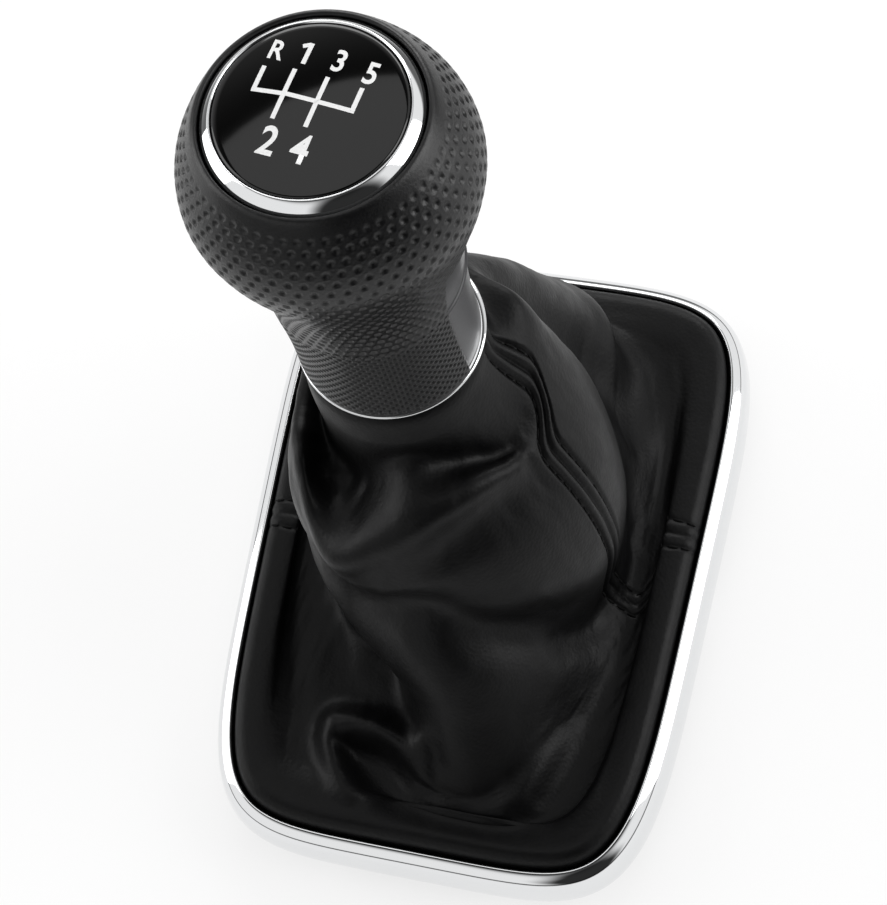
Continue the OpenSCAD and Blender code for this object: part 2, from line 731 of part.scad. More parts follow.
module pattern_cap() {
    on_knob()
        color("#101010")
            union() {
                rotate_extrude()
                    polygon(concat(
                        [
                            [0, pocket_z + 2.9], [cap_r - 1.8, pocket_z + 2.9],
                            [cap_r - 1.8, pocket_z + 1.9], [cap_r, pocket_z + 1.9]
                        ],
                        smooth_line([
                            [cap_r, ring_top - 0.3], [cap_r - 0.5, ring_top],
                            [cap_r * 0.7, ring_top + cap_dome * 0.55],
                            [cap_r * 0.35, ring_top + cap_dome * 0.9], [0, ring_top + cap_dome]
                        ], 3)
                    ));
                for (a = [45:90:315])
                    rotate([0, 0, a])
                        translate([9.3, -2.2, pocket_z - 3])
                            cube([1.6, 4.4, 6.2]);
            }
}

// Lever sleeve: split tube that the lever is pushed into, and the clamp round its mouth

module lever_sleeve() {
    on_knob()
        color("#3a3a3a")
            difference() {
                rotate_extrude()
                    polygon([
                        [lever_d / 2, -sleeve_drop],
                        [sleeve_r - 1, -sleeve_drop],
                        [sleeve_r - 1, -1.5],
                        [sleeve_r, -0.5],
                        [sleeve_r, sleeve_top],
                        [0, sleeve_top],
                        [0, lever_depth - sleeve_drop],
                        [lever_d / 2, lever_depth - sleeve_drop]
                    ]);
                for (a = [0:90:270])
                    rotate([0, 0, a])
                        translate([lever_d / 2 - 1, -0.6, -sleeve_drop - 1])
                            cube([sleeve_r, 1.2, sleeve_drop]);
            }
}

clamp_w = 7;
clamp_t = 0.8;

module lever_clamp() {
    on_knob()
        color("silver")
            translate([0, 0, -sleeve_drop + 2])
                linear_extrude(clamp_w)
                    rotate(200)
                        difference() {
                            union() {
                                circle(sleeve_r - 1 + fit_gap + clamp_t);
                                translate([sleeve_r - 1, -3])
                                    square([3.4, 6]);
                            }
                            circle(sleeve_r - 1 + fit_gap);
                            translate([sleeve_r - 1, -3 + clamp_t])
                                square([3.4 - clamp_t, 6 - 2 * clamp_t]);
                        }
}

trim_frame();
gaiter_frame();
console_clip(0);  // console_clip_1
console_clip(1);  // console_clip_2
console_clip(2);  // console_clip_3
console_clip(3);  // console_clip_4
console_clip(4);  // console_clip_5
console_clip(5);  // console_clip_6
gaiter_front_panel();
gaiter_rear_panel();
gaiter_retainer();
gaiter_tie();
knob_core();
grip_cover();
collar_trim();
chrome_ring();
cap_carrier();
pattern_cap();
lever_sleeve();
lever_clamp();
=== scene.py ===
# Gear shift knob, its leather gaiter and the bright trim frame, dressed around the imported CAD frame
import math

import bmesh
import bpy
import numpy as np
from mathutils import Matrix, Vector


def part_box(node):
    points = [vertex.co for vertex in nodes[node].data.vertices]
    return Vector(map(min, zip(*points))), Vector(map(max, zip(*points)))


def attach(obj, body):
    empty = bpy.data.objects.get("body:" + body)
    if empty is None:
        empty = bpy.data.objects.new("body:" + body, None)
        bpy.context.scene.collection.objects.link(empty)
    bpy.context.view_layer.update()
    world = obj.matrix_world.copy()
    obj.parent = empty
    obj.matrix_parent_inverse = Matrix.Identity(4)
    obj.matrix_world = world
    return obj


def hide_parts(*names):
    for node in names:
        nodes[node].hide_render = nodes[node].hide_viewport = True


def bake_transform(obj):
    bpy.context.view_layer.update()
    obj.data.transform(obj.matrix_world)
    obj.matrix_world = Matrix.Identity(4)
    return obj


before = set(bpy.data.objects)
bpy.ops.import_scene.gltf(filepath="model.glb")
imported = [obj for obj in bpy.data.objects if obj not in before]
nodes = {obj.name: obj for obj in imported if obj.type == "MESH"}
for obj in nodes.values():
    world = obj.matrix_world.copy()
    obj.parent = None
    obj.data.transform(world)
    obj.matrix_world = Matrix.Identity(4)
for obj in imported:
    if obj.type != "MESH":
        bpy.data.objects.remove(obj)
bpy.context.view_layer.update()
mm = 0.001

# places taken from the frame
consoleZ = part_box("trim_frame")[0].z
frameLength = (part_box("trim_frame")[1].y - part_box("trim_frame")[0].y) / mm
collarLow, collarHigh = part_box("collar_trim")
knobX = (collarLow.x + collarHigh.x) / 2 / mm
knobY = (collarLow.y + collarHigh.y) / 2 / mm
neckBase = (collarLow.z - consoleZ) / mm


# small tools

def hexColor(code):
    # sRGB hex to the linear colour that shaders take
    parts = [int(code[i:i + 2], 16) / 255 for i in (1, 3, 5)]
    return tuple(c / 12.92 if c <= 0.04045 else ((c + 0.055) / 1.055) ** 2.4 for c in parts) + (1.0,)


def addNode(tree, kind, settings=None, links=None):
    # settings are the node's own values or its input sockets; links are input socket <- (node, output)
    node = tree.nodes.new(kind)
    for key, value in (settings or {}).items():
        if isinstance(key, str) and hasattr(node, key):
            setattr(node, key, value)
        else:
            node.inputs[key].default_value = value
    for key, (source, output) in (links or {}).items():
        tree.links.new(source.outputs[output], node.inputs[key])
    return node


def newMaterial(name):
    material = bpy.data.materials.new(name)
    material.use_nodes = True
    tree = material.node_tree
    tree.nodes.clear()
    return material, tree


def finishMaterial(tree, shader):
    out = addNode(tree, "ShaderNodeOutputMaterial")
    tree.links.new(shader.outputs[0], out.inputs["Surface"])


def dress(piece, material):
    piece.data.materials.clear()
    piece.data.materials.append(material)
    for face in piece.data.polygons:
        face.material_index = 0
        face.use_smooth = True


def newPiece(name, bm):
    mesh = bpy.data.meshes.new(name)
    bm.to_mesh(mesh)
    bm.free()
    piece = bpy.data.objects.new(name, mesh)
    bpy.context.scene.collection.objects.link(piece)
    for face in mesh.polygons:
        face.use_smooth = True
    return piece


def gridPiece(name, cols, rows, place, closed=False):
    # a flat grid, laid over the surface that place(across, up) gives for shares from 0 to 1
    bm = bmesh.new()
    bmesh.ops.create_grid(bm, x_segments=cols, y_segments=rows, size=1.0)
    flat = np.array([v.co[:2] for v in bm.verts])
    across, up = (flat[:, 0] + 1) / 2, (flat[:, 1] + 1) / 2
    points = place(across, up)
    for vert, point in zip(bm.verts, points):
        vert.co = point
    if closed:
        bmesh.ops.remove_doubles(bm, verts=bm.verts, dist=1e-6)
    return newPiece(name, bm)


def sharpen(piece, degrees):
    # keeps real edges crisp while the faces round them shade smoothly
    bm = bmesh.new()
    bm.from_mesh(piece.data)
    for edge in bm.edges:
        if len(edge.link_faces) == 2 and edge.calc_face_angle(0) > math.radians(degrees):
            edge.smooth = False
    bm.to_mesh(piece.data)
    bm.free()


def thicken(piece, depth):
    # closed shell: the back skin lies one thickness behind the face, joined to it round the rim
    bm = bmesh.new()
    bm.from_mesh(piece.data)
    if sum(face.normal.z for face in bm.faces) < 0:
        bmesh.ops.reverse_faces(bm, faces=bm.faces[:])
    bm.normal_update()
    rim = [edge for edge in bm.edges if edge.is_boundary]
    front = bm.verts[:]
    copy = bmesh.ops.duplicate(bm, geom=bm.verts[:] + bm.edges[:] + bm.faces[:])
    back = {vert: copy["vert_map"][vert] for vert in front}
    for vert in front:
        back[vert].co = vert.co - vert.normal * depth
    backFaces = [item for item in copy["geom"] if isinstance(item, bmesh.types.BMFace)]
    bmesh.ops.reverse_faces(bm, faces=backFaces)
    for edge in rim:
        a, b = edge.link_loops[0].vert, edge.link_loops[0].link_loop_next.vert
        bm.faces.new((b, a, back[a], back[b]))
    for face in bm.faces:
        face.smooth = True
    bm.to_mesh(piece.data)
    bm.free()
    sharpen(piece, 55)


def smoothLine(knots, place):
    # Catmull-Rom line through the knots; place is counted in knots
    knots = np.asarray(knots, float)
    last = len(knots) - 1
    i = np.clip(np.floor(place).astype(int), 0, last - 1)
    u = (np.asarray(place, float) - i)[..., None]
    p0, p1, p2, p3 = (knots[np.clip(i + d, 0, last)] for d in (-1, 0, 1, 2))
    return 0.5 * (2 * p1 + (p2 - p0) * u + (2 * p0 - 5 * p1 + 4 * p2 - p3) * u ** 2
                  + (3 * p1 - p0 - 3 * p2 + p3) * u ** 3)


def bell(x, width):
    return np.exp(-(x / width) ** 2)


def ramp(x):
    x = np.clip(x, 0, 1)
    return x * x * (3 - 2 * x)


def turnBetween(a, b):
    return (a - b + 540) % 360 - 180


# camera: stands at the driver's right shoulder and looks down on the knob
camera = {
    "spot": (0.0767, -0.1304, 0.4288),
    "lookAt": (-0.0111, 0.0203, 0.0248),
    "roll": -19.57,   # degrees, the photo leans to the left
    "lens": 73.9,
}
cameraData = bpy.data.cameras.new("camera")
cameraData.lens = camera["lens"]
cameraData.sensor_width = 36
cameraData.clip_start = 0.01
cameraObject = bpy.data.objects.new("camera", cameraData)
bpy.context.scene.collection.objects.link(cameraObject)
lookDir = Vector(camera["lookAt"]) - Vector(camera["spot"])
cameraObject.matrix_world = (
    Matrix.Translation(camera["spot"])
    @ lookDir.to_track_quat("-Z", "Y").to_matrix().to_4x4()
    @ Matrix.Rotation(math.radians(camera["roll"]), 4, "Z")
)
bpy.context.scene.camera = cameraObject
print("camera set")


# materials

def leatherMaterial():
    # smooth finished cowhide, dyed black: fine pebbled grain, dull sheen where it is lifted to the light
    material, tree = newMaterial("blackNappaLeather")
    pebbleSize, creaseSize = 0.85, 5.0   # mm on real nappa
    place = addNode(tree, "ShaderNodeTexCoord")
    pebbles = addNode(tree, "ShaderNodeTexVoronoi", {"Scale": 1 / (pebbleSize * mm), "feature": "F1"},
                      {"Vector": (place, "Object")})
    haze = addNode(tree, "ShaderNodeTexNoise",
                   {"Scale": 1 / (creaseSize * mm), "Detail": 4.0, "Roughness": 0.6},
                   {"Vector": (place, "Object")})
    pebbleBump = addNode(tree, "ShaderNodeBump", {"Strength": 0.3, "Distance": 0.14 * mm},
                         {"Height": (pebbles, "Distance")})
    bump = addNode(tree, "ShaderNodeBump", {"Strength": 0.22, "Distance": 0.4 * mm},
                   {"Height": (haze, "Fac"), "Normal": (pebbleBump, "Normal")})
    rough = addNode(tree, "ShaderNodeMapRange",
                    {"From Min": 0.3, "From Max": 0.7, "To Min": 0.40, "To Max": 0.50},
                    {"Value": (haze, "Fac")})
    tone = addNode(tree, "ShaderNodeMix",
                   {"data_type": "RGBA", "A": hexColor("#050505"), "B": hexColor("#0a0a0b")},
                   {"Factor": (haze, "Fac")})
    shader = addNode(tree, "ShaderNodeBsdfPrincipled", {"Specular IOR Level": 0.145},
                     {"Base Color": (tone, "Result"), "Roughness": (rough, "Result"),
                      "Normal": (bump, "Normal")})
    finishMaterial(tree, shader)
    return material


def gripMaterial():
    # soft polyurethane skin over the core: as dark as the gaiter, with a slightly greasy gloss
    material, tree = newMaterial("dimpledSoftSkin")
    poreSize = 0.35   # mm
    place = addNode(tree, "ShaderNodeTexCoord")
    pores = addNode(tree, "ShaderNodeTexNoise", {"Scale": 1 / (poreSize * mm), "Detail": 3.0},
                    {"Vector": (place, "Object")})
    bump = addNode(tree, "ShaderNodeBump", {"Strength": 0.3, "Distance": 0.12 * mm},
                   {"Height": (pores, "Fac")})
    rough = addNode(tree, "ShaderNodeMapRange",
                    {"From Min": 0.3, "From Max": 0.7, "To Min": 0.30, "To Max": 0.42},
                    {"Value": (pores, "Fac")})
    shader = addNode(tree, "ShaderNodeBsdfPrincipled",
                     {"Base Color": hexColor("#050506"), "Specular IOR Level": 0.38},
                     {"Roughness": (rough, "Result"), "Normal": (bump, "Normal")})
    finishMaterial(tree, shader)
    return material


def jointStripPaintedReflectionMaterial():
    # the skin's joint strip has no grain, so it mirrors the side light; its grey base colour is a painted
    # reflection of that light on the same black skin
    material, tree = newMaterial("smoothJointStrip")
    poreSize = 0.5   # mm
    place = addNode(tree, "ShaderNodeTexCoord")
    pores = addNode(tree, "ShaderNodeTexNoise", {"Scale": 1 / (poreSize * mm), "Detail": 2.0},
                    {"Vector": (place, "Object")})
    rough = addNode(tree, "ShaderNodeMapRange", {"To Min": 0.28, "To Max": 0.36},
                    {"Value": (pores, "Fac")})
    shader = addNode(tree, "ShaderNodeBsdfPrincipled",
                     # painted reflection: a grey base colour, though the skin itself is as black as the
                     # ball's
                     {"Base Color": hexColor("#2e2e30"), "Specular IOR Level": 0.35},
                     {"Roughness": (rough, "Result")})
    finishMaterial(tree, shader)
    return material


def chromeMaterial():
    # bright chromium plate on moulded ABS: a mirror with the faint waviness of the moulding under it
    material, tree = newMaterial("brightChromePlate")
    waveLength = 14   # mm
    place = addNode(tree, "ShaderNodeTexCoord")
    wave = addNode(tree, "ShaderNodeTexNoise", {"Scale": 1 / (waveLength * mm), "Detail": 1.0},
                   {"Vector": (place, "Object")})
    bump = addNode(tree, "ShaderNodeBump", {"Strength": 0.05, "Distance": 0.5 * mm},
                   {"Height": (wave, "Fac")})
    shader = addNode(tree, "ShaderNodeBsdfPrincipled",
                     {"Base Color": hexColor("#e6e7e8"), "Metallic": 1.0, "Roughness": 0.05},
                     {"Normal": (bump, "Normal")})
    finishMaterial(tree, shader)
    return material


def plasticMaterial(name, code, roughness, grainSize):
    # moulded plastic with a spark-eroded grain, its size in mm, which breaks up the highlight
    material, tree = newMaterial(name)
    place = addNode(tree, "ShaderNodeTexCoord")
    grain = addNode(tree, "ShaderNodeTexNoise", {"Scale": 1 / (grainSize * mm), "Detail": 2.0},
                    {"Vector": (place, "Object")})
    bump = addNode(tree, "ShaderNodeBump", {"Strength": 0.15, "Distance": 0.05 * mm},
                   {"Height": (grain, "Fac")})
    shader = addNode(tree, "ShaderNodeBsdfPrincipled",
                     {"Base Color": hexColor(code), "Roughness": roughness}, {"Normal": (bump, "Normal")})
    finishMaterial(tree, shader)
    return material


def capMaterial():
    # polished black acrylic cap: deep gloss, next to no texture
    material, tree = newMaterial("polishedBlackAcrylic")
    waveLength = 9   # mm
    place = addNode(tree, "ShaderNodeTexCoord")
    wave = addNode(tree, "ShaderNodeTexNoise", {"Scale": 1 / (waveLength * mm), "Detail": 1.0},
                   {"Vector": (place, "Object")})
    bump = addNode(tree, "ShaderNodeBump", {"Strength": 0.03, "Distance": 0.3 * mm},
                   {"Height": (wave, "Fac")})
    shader = addNode(tree, "ShaderNodeBsdfPrincipled",
                     {"Base Color": hexColor("#030303"), "Roughness": 0.06, "IOR": 1.46},
                     {"Normal": (bump, "Normal")})
    finishMaterial(tree, shader)
    return material


def inkMaterial():
    # pad-printed white: flat and even, a little duller than the gloss round it
    material, tree = newMaterial("whitePadPrint")
    speckSize = 0.3   # mm
    place = addNode(tree, "ShaderNodeTexCoord")
    speck = addNode(tree, "ShaderNodeTexNoise", {"Scale": 1 / (speckSize * mm), "Detail": 2.0},
                    {"Vector": (place, "Object")})
    tone = addNode(tree, "ShaderNodeMix",
                   {"data_type": "RGBA", "A": hexColor("#d9d9d9"), "B": hexColor("#f2f2f2")},
                   {"Factor": (speck, "Fac")})
    shader = addNode(tree, "ShaderNodeBsdfPrincipled", {"Roughness": 0.25},
                     {"Base Color": (tone, "Result")})
    finishMaterial(tree, shader)
    return material


def steelMaterial():
    # zinc-plated spring steel: pale grey with a faint uneven grain
    material, tree = newMaterial("zincPlatedSteel")
    grainSize = 0.6   # mm
    place = addNode(tree, "ShaderNodeTexCoord")
    grain = addNode(tree, "ShaderNodeTexNoise", {"Scale": 1 / (grainSize * mm), "Detail": 3.0},
                    {"Vector": (place, "Object")})
    rough = addNode(tree, "ShaderNodeMapRange", {"To Min": 0.25, "To Max": 0.42},
                    {"Value": (grain, "Fac")})
    shader = addNode(tree, "ShaderNodeBsdfPrincipled",
                     {"Base Color": hexColor("#b9bcbf"), "Metallic": 1.0}, {"Roughness": (rough, "Result")})
    finishMaterial(tree, shader)
    return material


def threadMaterial():
    # bonded polyester thread, black and twisted, so it stays darker than the leather
    material, tree = newMaterial("blackPolyesterThread")
    twistLength = 0.25   # mm
    place = addNode(tree, "ShaderNodeTexCoord")
    twist = addNode(tree, "ShaderNodeTexNoise", {"Scale": 1 / (twistLength * mm), "Detail": 2.0},
                    {"Vector": (place, "Object")})
    bump = addNode(tree, "ShaderNodeBump", {"Strength": 0.4, "Distance": 0.1 * mm},
                   {"Height": (twist, "Fac")})
    shader = addNode(tree, "ShaderNodeBsdfPrincipled",
                     {"Base Color": hexColor("#050505"), "Roughness": 0.75, "Specular IOR Level": 0.12},
                     {"Normal": (bump, "Normal")})
    finishMaterial(tree, shader)
    return material


leather = leatherMaterial()
gripSkin = gripMaterial()
jointStripPaintedReflectionSkin = jointStripPaintedReflectionMaterial()
chrome = chromeMaterial()
capGloss = capMaterial()
ink = inkMaterial()
steel = steelMaterial()
thread = threadMaterial()
framePlastic = plasticMaterial("blackPolypropylene", "#1c1c1d", 0.5, 0.4)
corePlastic = plasticMaterial("darkGreyPolyamide", "#26262a", 0.45, 0.5)
print("materials made")


# CAD nodes that stay, with a better finish
plainNodes = {
    "gaiter_frame": framePlastic,
    "gaiter_retainer": corePlastic,
    "gaiter_tie": framePlastic,
    "knob_core": corePlastic,
    "cap_carrier": corePlastic,
    "lever_sleeve": corePlastic,
    "lever_clamp": steel,
}
for i in range(1, 7):
    plainNodes[f"console_clip_{i}"] = steel
for nodeName, material in plainNodes.items():
    nodes[nodeName].data.materials.clear()
    nodes[nodeName].data.materials.append(material)


# trim frame: chromed moulding, one smooth sweep round the outline
trim = {
    "width": 112.2,
    "taper": 0.066,    # the near end is narrower and the far end wider by this share
    "square": 5.06,    # power of the rounded rectangle
    "band": 5.0,
    "height": 10.3,
    "wall": 1.6,
    "lipDepth": 3.8,   # the inner lip hangs so far below the top and holds the leather down
    "stations": 420,
}


def rimPoint(turn):
    c, s = np.cos(np.radians(turn)), np.sin(np.radians(turn))
    power = trim["square"]
    wide, long = np.abs(c / (trim["width"] / 2)), np.abs(s / (frameLength / 2))
    reach = (wide ** power + long ** power) ** (-1 / power)
    x, y = reach * c, reach * s
    return np.stack([x * (1 + trim["taper"] * y / (frameLength / 2)), y], -1)


def rimInset(turn, inset):
    step = 0.05
    along = rimPoint(turn + step) - rimPoint(turn - step)
    out = np.stack([along[..., 1], -along[..., 0]], -1)
    out /= np.linalg.norm(out, axis=-1, keepdims=True)
    return rimPoint(turn) - np.asarray(inset)[..., None] * out


def trimSection():
    band, high, wall = trim["band"], trim["height"], trim["wall"]
    lip = high - trim["lipDepth"]
    outside = [[0, 0], [0.05, 2.2], [0.5, 5], [band * 0.24, high - 2.9], [band * 0.44, high - 1.4],
               [band * 0.68, high - 0.5], [band * 0.9, high], [band, high - 0.5]]
    smooth = smoothLine(outside, np.linspace(0, 7, 43))
    inside = [[band, lip], [band - wall * 0.9, lip], [band - wall * 0.9, high - 2.4],
              [wall + 1.1, high - 3.2], [wall + 0.4, 5], [wall, 2.2], [wall, 0]]
    return np.vstack([smooth, inside, [[0, 0]]])


section = trimSection()


def placeTrim(across, up):
    row = np.round(up * (len(section) - 1)).astype(int)
    turn = across * 360
    flat = rimInset(turn, section[row, 0])
    return np.column_stack([flat * mm, section[row, 1] * mm + consoleZ])


trimPiece = gridPiece("trim_frame_chrome", trim["stations"], len(section) - 1, placeTrim, closed=True)
dress(trimPiece, chrome)
sharpen(trimPiece, 50)
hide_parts("trim_frame")
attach(trimPiece, "frame")
print("trim swept")


# gaiter: the same profiles and folds as the CAD leather, at a finer step
gaiter = {
    "thickness": 1.1,
    "rollHeight": 13.4,
    "neckRadius": 18.1,
    "gap": 0.3,
    "columnTurn": -20,
    "seamLeft": 180,
    "seamRight": 10,
    "seamSwing": 21,         # degrees that the right seam turns near its top
    "seamSwingFrom": 13.7,
    "seamSwingOver": 1.3,
    "skirtShares": [0, 0.3, 0.75],
    "skirtInsets": [13, 15.5, 18],
    # first knot is [inset, height], the others [radius, height]
    "profiles": [
        [[13, 12.9], [51, 11.2], [47, 9.4], [43, 8.8], [39.5, 9.6], [36.5, 11.5],
         [34.5, 15.5], [36, 25], [38.5, 41], [34.5, 61], [27, 77], [22.5, 81]],
        [[13, 12.9], [49, 11.2], [44, 9.4], [40, 9], [37, 11.5], [36.5, 17],
         [37, 24], [38.3, 33], [38, 46], [35.5, 61], [29.5, 76], [24, 86]],
        [[13, 13.2], [56, 12.4], [51, 13], [46, 17], [42.5, 24], [40.5, 32],
         [39.5, 41], [38.2, 50], [36.5, 60], [33.5, 71], [29.5, 83], [26, 93]],
        [[13, 14], [63, 16], [63, 21], [60, 29], [55.5, 37.5], [51, 46.5],
         [47, 55], [43, 63.5], [39, 71], [34.5, 79.5], [29.5, 86.5], [23.5, 93]],
        [[13, 14], [64, 15], [61, 20.5], [57, 28], [52, 37], [47, 46],
         [42.5, 54], [38.5, 62], [34.5, 70], [30.5, 78], [26.5, 86], [21.5, 92]],
        [[13, 13.2], [57, 12], [51, 13], [46, 18], [42, 27], [38.5, 37],
         [35.5, 47], [33, 57], [30.5, 65.5], [28, 74], [25.5, 82], [20.5, 88]],
        [[13, 12.9], [48, 11.2], [42, 9.6], [36.5, 12], [34.5, 22], [33.5, 32],
         [32.5, 42], [31, 52], [29, 61], [27.5, 69], [25, 77], [20, 80]],
        [[13, 12.9], [47, 10.8], [41, 9], [35.5, 10.5], [34, 20], [33.5, 31],
         [32.5, 42], [31.5, 52], [30, 61], [28, 69], [24.5, 76], [19.8, 76]],
        [[13, 12.9], [52, 10.8], [44, 9], [35, 9.5], [33.5, 18], [34.5, 29],
         [34, 41], [33, 50], [32.8, 59], [31, 69.5], [26.5, 79], [19.8, 75]],
        [[13, 12.7], [64, 10.6], [56, 9.2], [44, 8.8], [34, 9.6], [34.5, 19],
         [38, 30], [36.5, 43], [33.5, 52], [35.5, 62], [33.5, 71.5], [20, 77.5]],
        [[12.5, 12.4], [67, 10], [63.5, 9.6], [60.5, 13.5], [56, 19], [50, 28],
         [44.5, 39], [39, 49], [34, 57], [34.5, 67], [30, 80], [20, 88]],
        [[13, 12.6], [58, 10.2], [54, 9.4], [50, 10.5], [46.5, 15], [43.5, 22],
         [40, 31], [35.5, 40], [37, 53], [33.5, 68], [27.5, 82], [20, 85]],
    ],
    # [height, width, line as [angle, level, strength]]
    "folds": [
        [1.3, 2.6, [[262, 13.4, 0.2], [272, 13.75, 1], [284, 14.05, 1], [315, 14.1, 1],
                    [340, 14.1, 1], [362, 14.05, 0.6]]],
        [-2.2, 3, [[300, 13.3, 0.1], [312, 13.5, 0.9], [340, 13.65, 1], [356, 13.8, 0.4]]],
        [2.4, 3.2, [[352, 14.1, 0.3], [4, 14.1, 0.9], [12, 14.1, 1], [20, 14.35, 1], [27, 14.55, 1],
                    [34, 14.7, 0.8], [41, 14.8, 0.2]]],
        [-1.4, 2.6, [[270, 15, 0.6], [278, 15.1, 1], [322, 15, 1], [344, 14.9, 1], [358, 14.7, 0.3]]],
        [-3.2, 4.5, [[238, 14.6, 0.3], [250, 14.65, 1], [258, 14.7, 1], [267, 14.85, 0.4]]],
        [-2.6, 5.5, [[250, 11, 0.2], [264, 11, 1], [272, 11.3, 1], [287, 11.5, 1], [303, 11.35, 1],
                   [315, 10.95, 1], [327, 10.4, 1], [340, 9.9, 1], [353, 9.4, 0.5]]],
        [0.9, 4, [[264, 11.8, 0.2], [287, 12.5, 1], [303, 12.3, 1], [315, 11.9, 1], [327, 11.3, 1],
                  [340, 10.8, 1], [353, 10.3, 0.4]]],
        [-7, 6.5, [[76, 15.2, 0.2], [75, 14, 0.8], [74, 12.5, 1], [73, 10.5, 1], [72, 8.5, 1],
                   [68, 7, 0.7], [62, 5.8, 0.2]]],
    ],
    # low pleats seen from above: [sink -1 or rise 1, width left of the line, width right of it,
    # line as [x, y, height, strength]]
    "pleats": [
        [-1, 4, 4, [[-20, -51, 9.2, 1], [-11.5, -53.5, 9.2, 1], [-6, -59, 9.6, 0.8]]],
        [-1, 4.5, 4, [[-9, -56.5, 10.2, 0.6], [-4.7, -61.5, 11.2, 0.6], [5.3, -64.4, 11.6, 0.6],
                      [16.7, -64.4, 11.6, 0.6], [27.3, -60, 11.4, 0.5], [34, -52, 11, 0.3]]],
        [1, 5, 5, [[-1, -45, 29, 0.2], [-0.5, -49.5, 22, 0.8], [1.5, -53.5, 16.5, 0.9],
                   [5, -56.5, 13.5, 0.6]]],
        [1, 6, 3.4, [[0.6, -57.6, 12.5, 0.4], [6.7, -59.6, 13, 0.9], [14.5, -60.2, 13.2, 0.9],
                     [19.1, -58.6, 14.2, 0.9], [22, -55.4, 16, 0.7], [24.3, -50.1, 18.5, 0.5],
                     [26.3, -44.8, 21, 0.3], [28.7, -38.6, 24, 0.1]]],
        [1, 3.4, 4, [[0.5, -51.5, 16, 0.2], [-3, -50, 18.5, 0.7], [-7.9, -48.3, 19.5, 0.9],
                     [-12, -47.2, 19, 1], [-17.2, -46.8, 18, 1], [-21.6, -47.6, 17, 1]]],
        [1, 3, 3.4, [[-17.2, -46.8, 18, 0.2], [-21.6, -47.6, 17, 1], [-22.8, -50.8, 16, 1],
                     [-22.1, -53.1, 15.5, 1], [-20.2, -56.9, 15, 1], [-17.6, -60.4, 14.6, 1],
                     [-14.8, -63, 14.2, 1], [-12.7, -66, 13.8, 0.6]]],
    ],
    "pleatLevels": [3.2, 9.8],
    "pleatFade": 1.2,     # levels over which they end
    "degreeStep": 0.66,   # rough millimetres on the leather for one degree and one level
    "levelStep": 7,
    "foldsFrom": [3.4, 2],    # folds start at this level and are full so many levels on
    "foldsTo": [4, 1.5],      # and fade out again, counted down from the top
    "crowding": 0.12,         # how far the columns move towards the seams
    "splitHeight": 61,        # lower and upper leather part here, where nothing bends
    "splitLevels": [9, 14],   # the split height lies between these levels all round
    "splitSteps": 101,
}


def gaiterLines():
    # every line's knots as [inset from the frame's rim, share of the column, column radius, height]
    hemZ = trim["height"] - trim["lipDepth"] - gaiter["gap"] - gaiter["thickness"]
    hemIn = trim["band"] + gaiter["gap"] + 0.2
    neck, gather = gaiter["neckRadius"], gaiter["neckRadius"] - 3.4
    hemTop, roll = hemZ + gaiter["thickness"], gaiter["rollHeight"]
    foot = [[hemIn - 2.4, 0, 50, hemTop], [hemIn, 0, 50, hemTop + 0.3],
            [hemIn + 0.3, 0, 50, roll - 3], [hemIn + 2.6, 0, 50, roll - 0.4]]
    top = [[20, 1, neck + 0.8, neckBase - 8], [20, 1, neck - 0.3, neckBase - 2.4],
           [20, 1, gather + 0.3, neckBase + 0.2], [20, 1, gather, neckBase + 3.6],
           [20, 1, gather, neckBase + 8]]
    lines = []
    for profile in gaiter["profiles"]:
        middle = [[profile[0][0], 0, 50, profile[0][1]]]
        for j, (radius, high) in enumerate(profile[1:], 1):
            if j < 3:
                middle.append([gaiter["skirtInsets"][j], gaiter["skirtShares"][j], radius, high])
            else:
                middle.append([20, 1, radius, high])
        lines.append(foot + middle + top)
    return np.array(lines, float)


leatherLines = gaiterLines()
topLevel = leatherLines.shape[1] - 1


def lineAt(turn, level):
    count = len(leatherLines)
    place = (turn % 360) * count / 360
    i = np.floor(place).astype(int)
    u = (place - i)[..., None]
    every = np.stack([smoothLine(line, level) for line in leatherLines])
    k = [np.take_along_axis(every, ((i + d) % count)[None, ..., None], 0)[0] for d in (-1, 0, 1, 2)]
    return 0.5 * (2 * k[1] + (k[2] - k[0]) * u + (2 * k[0] - 5 * k[1] + 4 * k[2] - k[3]) * u ** 2
                  + (3 * k[1] - k[0] - 3 * k[2] + k[3]) * u ** 3)


def plainLeather(turn, level):
    k = lineAt(turn, level)
    inset, share, radius, high = k[..., 0], k[..., 1], k[..., 2], k[..., 3]
    centre = np.clip(high / neckBase, 0, 1)[..., None] * np.array([knobX, knobY])
    around = np.radians(turn + gaiter["columnTurn"] * share)
    column = centre + radius[..., None] * np.stack([np.cos(around), np.sin(around)], -1)
    flat = (1 - share[..., None]) * rimInset(turn, inset) + share[..., None] * column
    return np.concatenate([flat, high[..., None]], -1)


def leatherNormal(turn, level):
    step = 0.05
    n = np.cross(plainLeather(turn + 1, level) - plainLeather(turn - 1, level),
                 plainLeather(turn, level + step) - plainLeather(turn, level - step))
    return n / np.linalg.norm(n, axis=-1, keepdims=True)


def foldHeight(fold, turn, level):
    high, width, line = fold
    line = np.array(line, float)
    x = (line[0, 0] + turnBetween(turn, line[0, 0])) * gaiter["degreeStep"]
    y = level * gaiter["levelStep"]
    best = np.full(x.shape, 1e3)
    strength = np.zeros(x.shape)
    for a, b in zip(line[:-1], line[1:]):
        start = a[:2] * (gaiter["degreeStep"], gaiter["levelStep"])
        along = b[:2] * (gaiter["degreeStep"], gaiter["levelStep"]) - start
        u = np.clip(((x - start[0]) * along[0] + (y - start[1]) * along[1]) / (along @ along), 0, 1)
        reach = np.hypot(x - start[0] - u * along[0], y - start[1] - u * along[1])
        closer = reach < best
        best = np.where(closer, reach, best)
        strength = np.where(closer, a[2] + u * (b[2] - a[2]), strength)
    return high * strength * bell(best, width)


